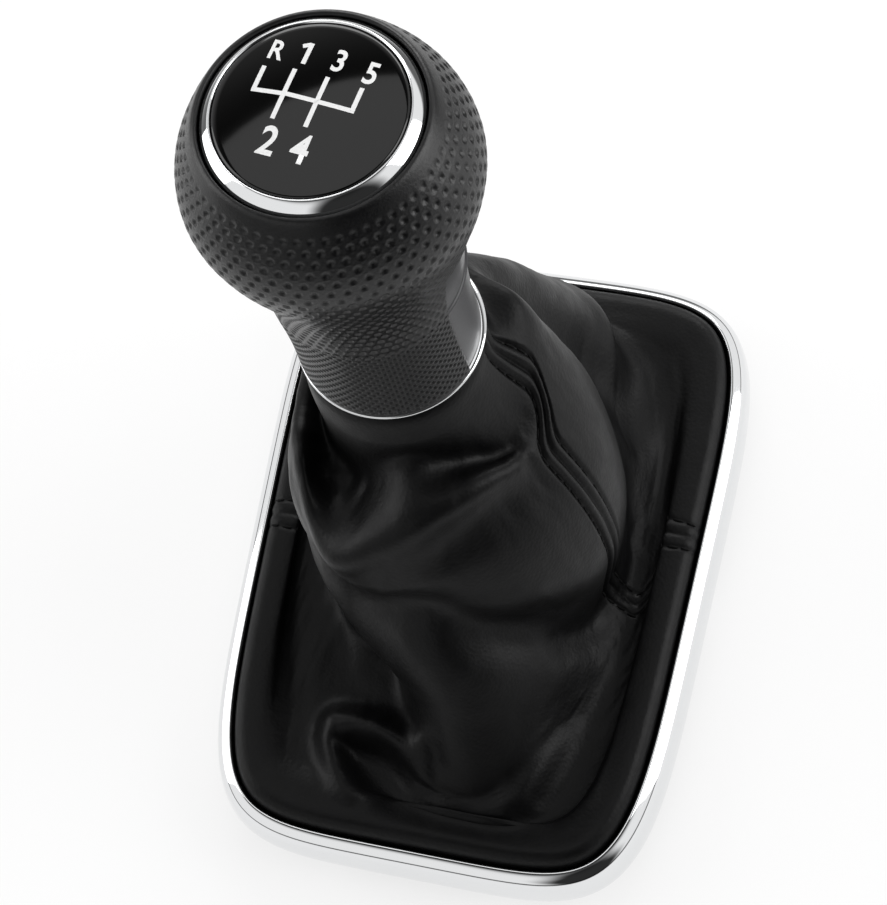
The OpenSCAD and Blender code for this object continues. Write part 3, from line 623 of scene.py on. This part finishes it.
def seamRightAt(level):
    swing = ramp((level - gaiter["seamSwingFrom"]) / gaiter["seamSwingOver"])
    return gaiter["seamRight"] + gaiter["seamSwing"] * swing


def seamLeftAt(level):
    return np.full(np.shape(level), float(gaiter["seamLeft"]))


# leather handling marks: small uneven swells, the same on every run
wrinkles = {
    "seed": 7,
    "sizes": [(9.0, 0.22), (4.0, 0.12), (1.9, 0.05)],   # spacing and height in mm
    "girth": 240,
    "length": 160,
}
wrinkleRandom = np.random.default_rng(wrinkles["seed"])
wrinkleTables = []
for size, height in wrinkles["sizes"]:
    around = int(wrinkles["girth"] / size)
    table = wrinkleRandom.uniform(-1, 1, (around, int(wrinkles["length"] / size) + 3))
    wrinkleTables.append((table, height, size, around))


def wrinkleHeight(turn, level):
    total = np.zeros(turn.shape)
    for grid, height, size, around in wrinkleTables:
        x, y = (turn % 360) / 360 * around, level * gaiter["levelStep"] / size
        i, j = np.floor(x).astype(int), np.floor(y).astype(int)
        u, v = ramp(x - i), ramp(y - j)
        i0, i1 = i % around, (i + 1) % around
        low = grid[i0, j] * (1 - u) + grid[i1, j] * u
        high = grid[i0, j + 1] * (1 - u) + grid[i1, j + 1] * u
        total += height * (low * (1 - v) + high * v)
    return total


# seams: a groove where the panels meet and a sunk row of stitches at each side
seam = {
    "groove": 0.5,
    "grooveWidth": 0.5,
    "swell": 0.35,             # between the groove and the stitches
    "swellWidth": 0.9,
    "rowOffset": 2.7,
    "rowDepth": 0.7,
    "rowWidth": 0.55,
    "stitch": 2.5,
    "pitch": 3.1,
    "threadWidth": 0.65,
    "threadFlat": 0.8,
    "threadLift": 0.08,
    "firstLevel": 2.4,
    "lastLevel": 17.2,
    "skirtShare": 0.35,        # fainter on the skirt
    "skirtEnds": [8.5, 2.5],   # grows to full depth from this level, over so many levels
    "hemEnds": [1.2, 1.5],
}


def columnRadius(points):
    # distance from the leaning middle of the leather column
    centre = np.clip(points[..., 2] / neckBase, 0, 1)[..., None] * np.array([knobX, knobY])
    return np.linalg.norm(points[..., :2] - centre, axis=-1)


def seamDip(turn, level, plain):
    radius = columnRadius(plain)
    dip = np.zeros(turn.shape)
    for line in (seamRightAt(level), seamLeftAt(level)):
        reach = np.abs(turnBetween(turn, line)) * np.pi / 180 * radius
        dip += seam["groove"] * bell(reach, seam["grooveWidth"])
        dip += seam["rowDepth"] * bell(reach - seam["rowOffset"], seam["rowWidth"])
        dip -= seam["swell"] * bell(reach - seam["rowOffset"] * 0.5, seam["swellWidth"])
    return dip


def pleated(points, level):
    # lifts or sinks the low leather towards the height of each pleat's line
    low, high = gaiter["pleatLevels"]
    hold = ramp(level - low) * ramp((high - level) / gaiter["pleatFade"])
    x, y, z = points[..., 0], points[..., 1], points[..., 2].copy()
    for way, left, right, line in gaiter["pleats"]:
        line = np.array(line, float)
        best = np.full(x.shape, 1e3)
        goal, strength, side = np.zeros(x.shape), np.zeros(x.shape), np.zeros(x.shape)
        for a, b in zip(line[:-1], line[1:]):
            along = b[:2] - a[:2]
            u = np.clip(((x - a[0]) * along[0] + (y - a[1]) * along[1]) / (along @ along), 0, 1)
            reach = np.hypot(x - a[0] - u * along[0], y - a[1] - u * along[1])
            closer = reach < best
            best = np.where(closer, reach, best)
            goal = np.where(closer, a[2] + u * (b[2] - a[2]), goal)
            strength = np.where(closer, a[3] + u * (b[3] - a[3]), strength)
            side = np.where(closer, along[0] * (y - a[1]) - along[1] * (x - a[0]), side)
        width = np.where(side > 0, left, right)
        pull = (goal - z) * strength * bell(best, width) * hold
        z += np.maximum(pull, 0) if way > 0 else np.minimum(pull, 0)
    return np.stack([x, y, z], -1)


def leatherPoint(turn, level):
    plain = plainLeather(turn, level)
    (foldStart, foldGrow), (foldEnd, foldFade) = gaiter["foldsFrom"], gaiter["foldsTo"]
    hold = (np.clip((level - foldStart) / foldGrow, 0, 1)
            * np.clip((topLevel - foldEnd - level) / foldFade, 0, 1))
    lift = sum(foldHeight(fold, turn, level) for fold in gaiter["folds"]) * hold
    lift = lift + wrinkleHeight(turn, level) * hold
    (skirtEnd, skirtGrow), (hemEnd, hemGrow) = seam["skirtEnds"], seam["hemEnds"]
    share = seam["skirtShare"] + (1 - seam["skirtShare"]) * ramp((level - skirtEnd) / skirtGrow)
    lift = lift - seamDip(turn, level, plain) * share * ramp((level - hemEnd) / hemGrow)
    return pleated(plain + lift[..., None] * leatherNormal(turn, level), level)


def leatherWorld(turn, level):
    return leatherPoint(turn, level) * mm + np.array([0, 0, consoleZ])


def nearSeams(across):
    # columns crowd towards the seams, which need finer steps
    return across - gaiter["crowding"] * np.sin(2 * np.pi * across)


def splitTable():
    # the level at which each line round the gaiter passes the split height
    steps = gaiter["splitSteps"]
    turns, levels = np.arange(0, 360, 3.0), np.linspace(*gaiter["splitLevels"], steps)
    high = lineAt(np.repeat(turns, steps), np.tile(levels, len(turns)))[:, 3]
    return turns, np.array([np.interp(gaiter["splitHeight"], row, levels)
                            for row in high.reshape(len(turns), steps)])


splitTurns, splitLevels = splitTable()


def splitAt(turn):
    return np.interp(np.asarray(turn) % 360, splitTurns, splitLevels, period=360)


panels = {
    # name: [start of the panel, end of the panel, columns, turn of its middle]
    "front": [seamRightAt, seamLeftAt, 160, 95.0],
    "rear": [seamLeftAt, lambda level: seamRightAt(level) + 360, 250, 275.0],
}
halves = {
    # name: [rows, the two bodies that a bend would join, heights where that bend would start and end]
    "lower": [190, "frame", "gaiter", 20, 55],
    "upper": [110, "gaiter", "knob", 67, 112],
}


leatherPieces = {}
for panelName, (startAt, endAt, cols, _) in panels.items():
    for halfName, (rows, bodyA, bodyB, bendLow, bendHigh) in halves.items():
        def placeLeather(across, up):
            a, b = startAt(np.zeros(len(up))), endAt(np.zeros(len(up)))
            split = splitAt(a + nearSeams(across) * (b - a))
            level = up * split if halfName == "lower" else split + up * (topLevel - split)
            a, b = startAt(level), endAt(level)
            return leatherWorld(a + nearSeams(across) * (b - a), level)

        piece = gridPiece(f"gaiter_{panelName}_{halfName}", cols, rows, placeLeather)
        dress(piece, leather)
        thicken(piece, gaiter["thickness"] * mm)
        leatherPieces[(panelName, halfName)] = piece
        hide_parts(f"gaiter_{panelName}_panel")
        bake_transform(piece)
print("gaiter laid")


# grip: ball and neck in one dimpled skin
grip = {
    "ballRadius": 25.4,
    "neckRadius": gaiter["neckRadius"],
    "ballHeight": 60.8,
    "neckShare": 0.444,      # of the ball's height, where the neck's skin meets the ball's
    "ringRadius": 18.0,
    "ringSink": 1.8,         # the ring's seat lies so far below the round of the ball
    "wall": 1.3,
    "backStep": 12,          # the back skin has one row for so many of the face
    "dimpleColumns": 8,      # grid steps round the knob for each dimple
    "dimpleSteps": 6,        # and along it for each row of dimples
    "ballDimples": 60,       # round the ball
    "ballDimpleRows": 2.1,   # millimetres between rows
    "ballDimpleRadius": 0.72,
    "ballDimpleDepth": 0.26,
    "neckDimples": 66,
    "neckDimpleRows": 1.15,
    "neckDimpleRadius": 0.5,
    "neckDimpleStretch": 1.2,
    "neckDimpleDepth": 0.32,
    "stripFrom": -18,
    "stripLean": 6,          # degrees wider from stripLeanHigh upwards
    "stripLeanHigh": 28,
    "stripSoft": 1.4,        # degrees over which its border rounds off
    "stripTo": 42,
    "stripHigh": 44,
    "stripDepth": 0.8,
    "stripOutside": 16.9,    # the strip's face lies beyond this radius, its back within
    "edgeOffset": 0.6,       # groove along the strip, degrees outside its border
    "edgeWidth": 0.9,
    "edgeDepth": 0.45,
}
knobBase = neckBase * mm + consoleZ
neckTop = grip["ballHeight"] * grip["neckShare"]
ballReach = math.sqrt(grip["ballRadius"] ** 2 - grip["ringRadius"] ** 2)
knobTop = grip["ballHeight"] + ballReach - grip["ringSink"]


def gripKnots():
    ball, neck, high = grip["ballRadius"], grip["neckRadius"], grip["ballHeight"]
    return [[neck + 0.25, 1.2], [neck + 0.05, high * 0.1], [neck - 0.05, high * 0.214],
            [neck + 0.1, high * 0.33], [neck + 0.4, neckTop + 0.6], [neck + 0.9, high * 0.56],
            [ball * 0.787, high - 20.8], [ball * 0.843, high - 14.8], [ball * 0.906, high - 9.8],
            [ball * 0.965, high - 4.8], [ball, high + 0.4], [ball * 0.98, high + 4.8],
            [ball * 0.93, high + 8.6], [ball * 0.85, high + 12.6],
            [grip["ringRadius"] + 1.4, knobTop + 0.2], [grip["ringRadius"] + 0.4, knobTop + 0.8]]


def denseLine(knots, count):
    # the line at even steps along its length
    fine = smoothLine(knots, np.linspace(0, len(knots) - 1, 2000))
    length = np.concatenate([[0], np.cumsum(np.linalg.norm(np.diff(fine, axis=0), axis=1))])
    at = np.linspace(0, length[-1], count)
    return np.column_stack([np.interp(at, length, fine[:, 0]), np.interp(at, length, fine[:, 1])]), at


def dimples(turn, along, count, rowStep, radius, depth, girth, stretch=1.0):
    # hollows on a staggered grid; girth is the local radius of the body, stretch lengthens them along it
    row = np.round(along / rowStep)
    beyond = along - row * rowStep
    nextRow = np.where(beyond > 0, 1, -1)
    reach = np.full(turn.shape, np.inf)
    for step in (0, nextRow):
        cell = turn / 360 * count + ((row + step) % 2) * 0.5
        x = (cell - np.round(cell)) * 2 * np.pi * girth / count
        y = beyond - step * rowStep
        reach = np.minimum(reach, np.hypot(x, y / stretch))
    hollow = ramp((1 - reach / radius) / 0.5)   # flat floor, steep side
    rim = bell(reach - radius * 1.12, radius * 0.28) * 0.22   # the skin stands up a little round it
    return depth * (hollow - rim)


def rowsFor(knots, rowStep):
    # grid rows that fall in step with the dimple rows, and the row step that fits the length
    length = denseLine(knots, 2)[1][-1]
    count = round(length / rowStep)
    return count * grip["dimpleSteps"] + 1, length / count


def gripSurface(name, knots, rows, dimplesRound, relief):
    # the face with its relief, closed by a plain back skin
    line, along = denseLine(knots, rows)
    slope = np.gradient(line, axis=0)
    out = np.column_stack([slope[:, 1], -slope[:, 0]])
    out /= np.linalg.norm(out, axis=1, keepdims=True)
    backRows = slice(None, None, -grip["backStep"])
    back = line[backRows] - grip["wall"] * out[backRows]
    full = np.vstack([line, back, line[:1]])
    outFull = np.vstack([out, out[backRows], out[:1]])
    alongFull = np.concatenate([along, along[backRows], along[:1]])
    outerRow = np.concatenate([np.ones(rows), np.zeros(len(back)), np.ones(1)])

    def place(across, up):
        row = np.round(up * (len(full) - 1)).astype(int)
        turn = across * 360
        girth, high = full[row, 0], full[row, 1]
        sink = relief(turn, alongFull[row], girth, high) * outerRow[row]
        r = girth - sink * outFull[row, 0]
        z = high - sink * outFull[row, 1]
        a = np.radians(turn)
        x, y = knobX + r * np.cos(a), knobY + r * np.sin(a)
        return np.column_stack([x * mm, y * mm, z * mm + knobBase])

    cols = dimplesRound * grip["dimpleColumns"]
    return gridPiece(name, cols, len(full) - 1, place, closed=True)


def stripEdge(turn, high):
    # degrees inside the joint strip's nearer border, below zero outside
    start = grip["stripFrom"] - grip["stripLean"] * np.clip(high / grip["stripLeanHigh"], 0, 1)
    return (grip["stripTo"] - start) / 2 - np.abs(turnBetween(turn, (start + grip["stripTo"]) / 2))


def onStrip(turn, high):
    # 1 on the smooth joint strip of the neck, which runs up under the ball
    return ramp(stripEdge(turn, high) / grip["stripSoft"] + 0.5) * ramp((grip["stripHigh"] - high) / 2)


knots = gripKnots()
neckKnots = knots[:5] + [[knots[4][0] - 0.9, neckTop + 2.2]]
ballKnots = [[knots[4][0] - 0.9, neckTop - 0.6], [knots[4][0] - 0.1, neckTop - 0.2]] + knots[4:]
ballRows, ballStep = rowsFor(ballKnots, grip["ballDimpleRows"])
neckRows, neckStep = rowsFor(neckKnots, grip["neckDimpleRows"])


def ballRelief(turn, along, girth, high):
    fade = ramp((knobTop - 1.2 - high) / 2) * ramp((along - 0.6) / 2) * (1 - onStrip(turn, high))
    pattern = dimples(turn, along, grip["ballDimples"], ballStep, grip["ballDimpleRadius"],
                      grip["ballDimpleDepth"], girth)
    return fade * pattern + onStrip(turn, high) * grip["stripDepth"] * ramp((along - 0.4) / 0.8)


def neckRelief(turn, along, girth, high):
    edge = bell(stripEdge(turn, high) + grip["edgeOffset"], grip["edgeWidth"]) * grip["edgeDepth"]
    strip = onStrip(turn, high)
    fade = ramp((along - 0.3) / 1.2) * (1 - strip)
    pattern = dimples(turn, along, grip["neckDimples"], neckStep, grip["neckDimpleRadius"],
                      grip["neckDimpleDepth"], girth, grip["neckDimpleStretch"])
    return pattern * fade + strip * grip["stripDepth"] + edge


ballPiece = gripSurface("grip_ball", ballKnots, ballRows, grip["ballDimples"], ballRelief)
neckPiece = gripSurface("grip_neck", neckKnots, neckRows, grip["neckDimples"], neckRelief)
for piece in (ballPiece, neckPiece):
    dress(piece, gripSkin)
    # the strip faces take the second material, whose grey is a painted reflection
    piece.data.materials.append(jointStripPaintedReflectionSkin)
    for face in piece.data.polygons:
        middle = face.center
        x, y = middle.x / mm - knobX, middle.y / mm - knobY
        turn, high = math.degrees(math.atan2(y, x)), (middle.z - knobBase) / mm
        if math.hypot(x, y) > grip["stripOutside"] and onStrip(turn, high) > 0.5:
            face.material_index = 1
    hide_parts("grip_cover")
    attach(piece, "knob")
print("grip skinned")


# turned pieces: a closed section spun round the knob's axis

def spinPiece(name, outline, steps=192):
    bm = bmesh.new()
    verts = [bm.verts.new((knobX * mm + r * mm, knobY * mm, knobBase + h * mm)) for r, h in outline]
    # an outline that starts on the axis also ends there, and needs no closing edge
    closing = verts[:1] if outline[0][0] > 0 else []
    edges = [bm.edges.new((a, b)) for a, b in zip(verts, verts[1:] + closing)]
    bmesh.ops.spin(bm, geom=verts + edges, cent=(knobX * mm, knobY * mm, 0), axis=(0, 0, 1),
                   dvec=(0, 0, 0), angle=math.radians(360), steps=steps, use_merge=True,
                   use_normal_flip=False, use_duplicate=False)
    bmesh.ops.remove_doubles(bm, verts=bm.verts, dist=1e-7)
    bmesh.ops.recalc_face_normals(bm, faces=bm.faces)
    return newPiece(name, bm)


cap = {"radius": 15.7, "dome": 0.7, "skirt": 1.8, "floor": 2.9}
ring = {"gap": 0.1, "rise": 2.0, "pocketDepth": 3.4, "ledge": 1.9}
ringTop = knobTop + ring["rise"]
pocket = knobTop - ring["pocketDepth"]
ledge = pocket + ring["ledge"]   # ring and cap both stand on the carrier here
ringOut, ringIn = grip["ringRadius"], cap["radius"]
ringKnots = [[ringOut, knobTop], [ringOut - 0.3, knobTop + 0.55], [ringOut - 0.95, knobTop + 1.25],
             [ringIn + 0.6, ringTop - 0.1], [ringIn + 0.3, ringTop], [ringIn + ring["gap"], ringTop - 0.2]]
ringOutline = [list(p) for p in smoothLine(ringKnots, np.linspace(0, 5, 41))]
ringOutline += [[ringIn + ring["gap"], ledge], [ringOut - 1, ledge], [ringOut - 1, knobTop]]
ringPiece = spinPiece("chrome_ring_bright", ringOutline)
dress(ringPiece, chrome)
sharpen(ringPiece, 50)
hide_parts("chrome_ring")
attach(ringPiece, "knob")

collar = {"bore": 15.8, "radius": 18.5, "height": 0.9}
collarOutline = [[collar["bore"], 0], [collar["radius"] - 0.2, 0], [collar["radius"] + 0.02, 0.2],
                 [collar["radius"], 0.55], [collar["radius"] - 0.2, 0.8],
                 [collar["bore"], collar["height"]]]
collarPiece = spinPiece("collar_trim_bright", collarOutline)
dress(collarPiece, chrome)
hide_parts("collar_trim")
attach(collarPiece, "knob")


def capHeight(r):
    # the cap is slightly domed
    share = np.clip(np.asarray(r) / cap["radius"], 0, 1)
    return ringTop + cap["dome"] * (1 - share ** 2)


capOutline = [[0, float(capHeight(0))]]
capOutline += [[r, float(capHeight(r))] for r in np.linspace(0.8, cap["radius"] - 0.5, 22)]
capOutline += [[cap["radius"] - 0.15, ringTop - 0.1], [cap["radius"], ringTop - 0.4], [cap["radius"], ledge],
               [cap["radius"] - cap["skirt"], ledge], [cap["radius"] - cap["skirt"], pocket + cap["floor"]],
               [0, pocket + cap["floor"]]]
capPiece = spinPiece("pattern_cap_gloss", capOutline)
dress(capPiece, capGloss)
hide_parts("pattern_cap")
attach(capPiece, "knob")
print("turned pieces spun")


# shift pattern: five gears and reverse, printed white
pattern = {
    "turn": -8.8,        # degrees, the cap sits a little askew
    "lineWidth": 0.76,
    "lift": 0.035,       # of the ink over the cap
    "strokeStep": 0.8,   # a stroke bends with the dome once in so many mm
    "shift": (0.4, -1.2),
    "strokes": [((-10.1, 1.7), (-10.1, 6.2)), ((-10.45, 1.7), (-5.3, 2.2)), ((-5.1, 2.3), (6.8, 2.3)),
                ((-5.1, -2.4), (-5.1, 6.9)), ((0.5, -2.4), (0.5, 6.9)), ((6.4, 2.0), (6.4, 6.6)),
                ((-4.3, 8.1), (-4.3, 12.1)), ((-5.6, 11.2), (-4.4, 11.85))],
    "signs": [("R", -9.2, 9.5, 3.6), ("3", 1.1, 10.2, 4.1), ("5", 6.7, 9.5, 4.1),
              ("2", -4.2, -6.1, 5.1), ("4", 1.2, -6.1, 5.1)],
    "narrow": 0.84,
    "bold": 0.02,
}


def layOnCap(mesh):
    # from the pattern's own flat frame to the cap's dome
    turn = math.radians(pattern["turn"])
    for vert in mesh.vertices:
        x, y = vert.co.x + pattern["shift"][0], vert.co.y + pattern["shift"][1]
        px, py = x * math.cos(turn) - y * math.sin(turn), x * math.sin(turn) + y * math.cos(turn)
        high = float(capHeight(math.hypot(px, py))) + (pattern["lift"] + vert.co.z)
        vert.co = ((knobX + px) * mm, (knobY + py) * mm, knobBase + high * mm)


printMesh = bmesh.new()
for (x0, y0), (x1, y1) in pattern["strokes"]:
    run = Vector((x1 - x0, y1 - y0, 0))
    steps = max(2, int(run.length / pattern["strokeStep"]))
    stroke = bmesh.ops.create_grid(printMesh, x_segments=steps, y_segments=1, size=0.5)["verts"]
    bmesh.ops.scale(printMesh, vec=(run.length, pattern["lineWidth"], 1), verts=stroke)
    leaning = Matrix.Rotation(math.atan2(run.y, run.x), 3, "Z")
    bmesh.ops.rotate(printMesh, cent=(0, 0, 0), matrix=leaning, verts=stroke)
    bmesh.ops.translate(printMesh, vec=((x0 + x1) / 2, (y0 + y1) / 2, 0), verts=stroke)
strokesMesh = bpy.data.meshes.new("strokes")
printMesh.to_mesh(strokesMesh)
printMesh.free()
layOnCap(strokesMesh)
meshes = [strokesMesh]
for sign, x, y, height in pattern["signs"]:
    letter = bpy.data.curves.new("sign", "FONT")
    letter.body = sign
    letter.size = 1.0
    letter.offset = pattern["bold"]
    letter.resolution_u = 6
    holder = bpy.data.objects.new("sign", letter)
    bpy.context.scene.collection.objects.link(holder)
    bpy.context.view_layer.update()
    flat = bpy.data.meshes.new_from_object(holder.evaluated_get(bpy.context.evaluated_depsgraph_get()))
    bpy.data.objects.remove(holder)
    corners = np.array([v.co[:2] for v in flat.vertices])
    low, high = corners.min(0), corners.max(0)
    scale = height / (high[1] - low[1])
    middle = (low + high) / 2
    for vert in flat.vertices:
        vert.co = ((vert.co.x - middle[0]) * scale * pattern["narrow"] + x,
                   (vert.co.y - middle[1]) * scale + y, 0)
    layOnCap(flat)
    meshes.append(flat)
joined = bmesh.new()
for mesh in meshes:
    joined.from_mesh(mesh)
printPiece = newPiece("shift_pattern_print", joined)
dress(printPiece, ink)
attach(printPiece, "knob")
print("shift pattern printed")


# stitches: sunk thread, two rows at each seam

def stitchRows(name, seamAt, lowLevel, highLevel):
    levels = np.linspace(lowLevel, highLevel, 600)
    bm = bmesh.new()
    for row in (-1, 1):
        radius = columnRadius(plainLeather(seamAt(levels), levels))
        turns = seamAt(levels) + row * np.degrees(seam["rowOffset"] / radius)
        points = leatherWorld(turns, levels)
        normals = leatherNormal(turns, levels)
        steps = np.linalg.norm(np.diff(points, axis=0), axis=1)
        length = np.concatenate([[0], np.cumsum(steps)]) / mm
        count = int(length[-1] / seam["pitch"])
        for k in range(count):
            middle = (k + 0.5) * seam["pitch"]
            i = int(np.clip(np.searchsorted(length, middle), 2, len(length) - 3))
            along = Vector(points[i + 2] - points[i - 2]).normalized()
            out = Vector(normals[i]).normalized()
            aside = out.cross(along).normalized()
            out = along.cross(aside).normalized()
            stitch = bmesh.ops.create_uvsphere(bm, u_segments=8, v_segments=6, radius=0.5)["verts"]
            bmesh.ops.scale(bm, vec=(seam["threadWidth"] * mm, seam["threadWidth"] * seam["threadFlat"] * mm,
                                     seam["stitch"] * mm), verts=stitch)
            facing = Matrix((aside, out, along)).transposed()
            bmesh.ops.rotate(bm, cent=(0, 0, 0), matrix=facing, verts=stitch)
            bmesh.ops.translate(bm, vec=Vector(points[i]) + out * seam["threadLift"] * mm, verts=stitch)
    piece = newPiece(name, bm)
    dress(piece, thread)
    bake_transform(piece)


for side, seamAt in (("right", seamRightAt), ("left", seamLeftAt)):
    split = float(splitAt(seamAt(np.array([0.0]))[0]))
    stitchRows(f"seam_thread_{side}_lower", seamAt, seam["firstLevel"], split)
    stitchRows(f"seam_thread_{side}_upper", seamAt, split, seam["lastLevel"])
print("seams stitched")


# leather cuts: the length up the middle of each piece

for (panelName, halfName), piece in leatherPieces.items():
    middleTurn = panels[panelName][3]
    split = float(splitAt(middleTurn))
    levels = np.linspace(0, split, 200) if halfName == "lower" else np.linspace(split, topLevel, 200)
    up = np.linalg.norm(np.diff(leatherWorld(np.full(200, middleTurn), levels), axis=0), axis=1).sum()


# floor, light and background
floor = {
    "size": 6.0,
    "nearEdge": 0.3,     # metres from the part, where reflections start to see a darker room
    "farEdge": 0.9,
    "farLight": 0.08,
    "glowShare": 0.75,   # of white light against the floor's own shade
}
bm = bmesh.new()
bmesh.ops.create_grid(bm, x_segments=4, y_segments=4, size=floor["size"] / 2)
floorPiece = newPiece("floor", bm)
floorMaterial, tree = newMaterial("paleStudioSweep")
rays = addNode(tree, "ShaderNodeLightPath")
matte = addNode(tree, "ShaderNodeBsdfDiffuse", {"Color": hexColor("#f4f4f4")})
# reflections see the sweep only near the part; further off the room is dark
place = addNode(tree, "ShaderNodeTexCoord")
away = addNode(tree, "ShaderNodeVectorMath", {"operation": "LENGTH"}, {0: (place, "Object")})
fade = addNode(tree, "ShaderNodeMapRange",
               {"interpolation_type": "SMOOTHSTEP", "From Min": floor["nearEdge"],
                "From Max": floor["farEdge"], "To Min": 1.0, "To Max": floor["farLight"]},
               {"Value": (away, "Value")})
glow = addNode(tree, "ShaderNodeMath", {"operation": "MAXIMUM"},
               {0: (fade, "Result"), 1: (rays, "Is Camera Ray")})
bright = addNode(tree, "ShaderNodeEmission", {"Color": hexColor("#ffffff")}, {"Strength": (glow, 0)})
seen = addNode(tree, "ShaderNodeMath", {"operation": "MAXIMUM"},
               {0: (rays, "Is Camera Ray"), 1: (rays, "Is Glossy Ray")})
seenOrThrough = addNode(tree, "ShaderNodeMath", {"operation": "MAXIMUM"},
                        {0: (seen, 0), 1: (rays, "Is Transmission Ray")})
share = addNode(tree, "ShaderNodeMath", {"operation": "MULTIPLY", 1: floor["glowShare"]},
                {0: (seenOrThrough, 0)})
blendShader = addNode(tree, "ShaderNodeMixShader", {}, {0: (share, 0), 1: (matte, 0), 2: (bright, 0)})
finishMaterial(tree, blendShader)
dress(floorPiece, floorMaterial)

# a white tent with an open, dark top, a dark gap along the table and a dark window at the near right
studio = {
    # name: [where the dark part starts to fade, where it has faded, light in it, light outside it]
    "top": [0.80, 0.56, 0.05, 0.95],
    "gap": [0.05, 0.12, 0.15, 1.0],
    "window": [0.93, 0.81, 0.03, 1.0],
    "windowWay": (0.55, -0.76, 0.35),
}
world = bpy.data.worlds.new("studio")
bpy.context.scene.world = world
world.use_nodes = True
tree = world.node_tree
tree.nodes.clear()
rays = addNode(tree, "ShaderNodeLightPath")
heading = addNode(tree, "ShaderNodeTexCoord")
upward = addNode(tree, "ShaderNodeSeparateXYZ", {}, {0: (heading, "Generated")})
beside = addNode(tree, "ShaderNodeVectorMath", {"operation": "DOT_PRODUCT", 1: studio["windowWay"]},
                 {0: (heading, "Generated")})
shades = []
for name, source in (("top", (upward, "Z")), ("gap", (upward, "Z")), ("window", (beside, "Value"))):
    start, end, inside, outside = studio[name]
    shades.append(addNode(tree, "ShaderNodeMapRange",
                          {"interpolation_type": "SMOOTHSTEP", "From Min": start, "From Max": end,
                           "To Min": inside, "To Max": outside}, {"Value": source}))
topAndGap = addNode(tree, "ShaderNodeMath", {"operation": "MULTIPLY"},
                    {0: (shades[0], "Result"), 1: (shades[1], "Result")})
light = addNode(tree, "ShaderNodeMath", {"operation": "MULTIPLY"},
                {0: (topAndGap, 0), 1: (shades[2], "Result")})
cloth = addNode(tree, "ShaderNodeBackground", {"Color": hexColor("#ffffff")}, {"Strength": (light, 0)})
white = addNode(tree, "ShaderNodeBackground", {"Color": hexColor("#ffffff"), "Strength": 1.0})
mixWorld = addNode(tree, "ShaderNodeMixShader", {},
                   {0: (rays, "Is Camera Ray"), 1: (cloth, 0), 2: (white, 0)})
outWorld = addNode(tree, "ShaderNodeOutputWorld")
tree.links.new(mixWorld.outputs[0], outWorld.inputs["Surface"])

lamps = {
    # name: [shape, place, aim, width, height, power in watts]
    "leftBox": ["RECTANGLE", (-0.75, -0.05, 0.35), (0.0, 0.0, 0.08), 0.5, 0.9, 3.0],
    "rightBox": ["RECTANGLE", (0.75, 0.20, 0.40), (0.0, 0.0, 0.08), 0.5, 0.9, 5.0],
    "backBox": ["RECTANGLE", (-0.1, 0.9, 0.50), (0.0, 0.0, 0.06), 0.9, 0.5, 5.0],
    "topDisc": ["ELLIPSE", (-0.08, 0.178, 1.16), (-0.08, 0.178, 0.0), 1.1, 1.1, 3.2],
}
for name, (shape, place, aim, wide, high, power) in lamps.items():
    lampData = bpy.data.lights.new(name, "AREA")
    lampData.shape = shape
    lampData.size = wide
    lampData.size_y = high
    lampData.energy = power
    lampObject = bpy.data.objects.new(name, lampData)
    bpy.context.scene.collection.objects.link(lampObject)
    lampObject.location = place
    lampObject.rotation_euler = (Vector(aim) - Vector(place)).to_track_quat("-Z", "Y").to_euler()
bpy.context.scene.view_settings.view_transform = "Standard"
print("studio lit")
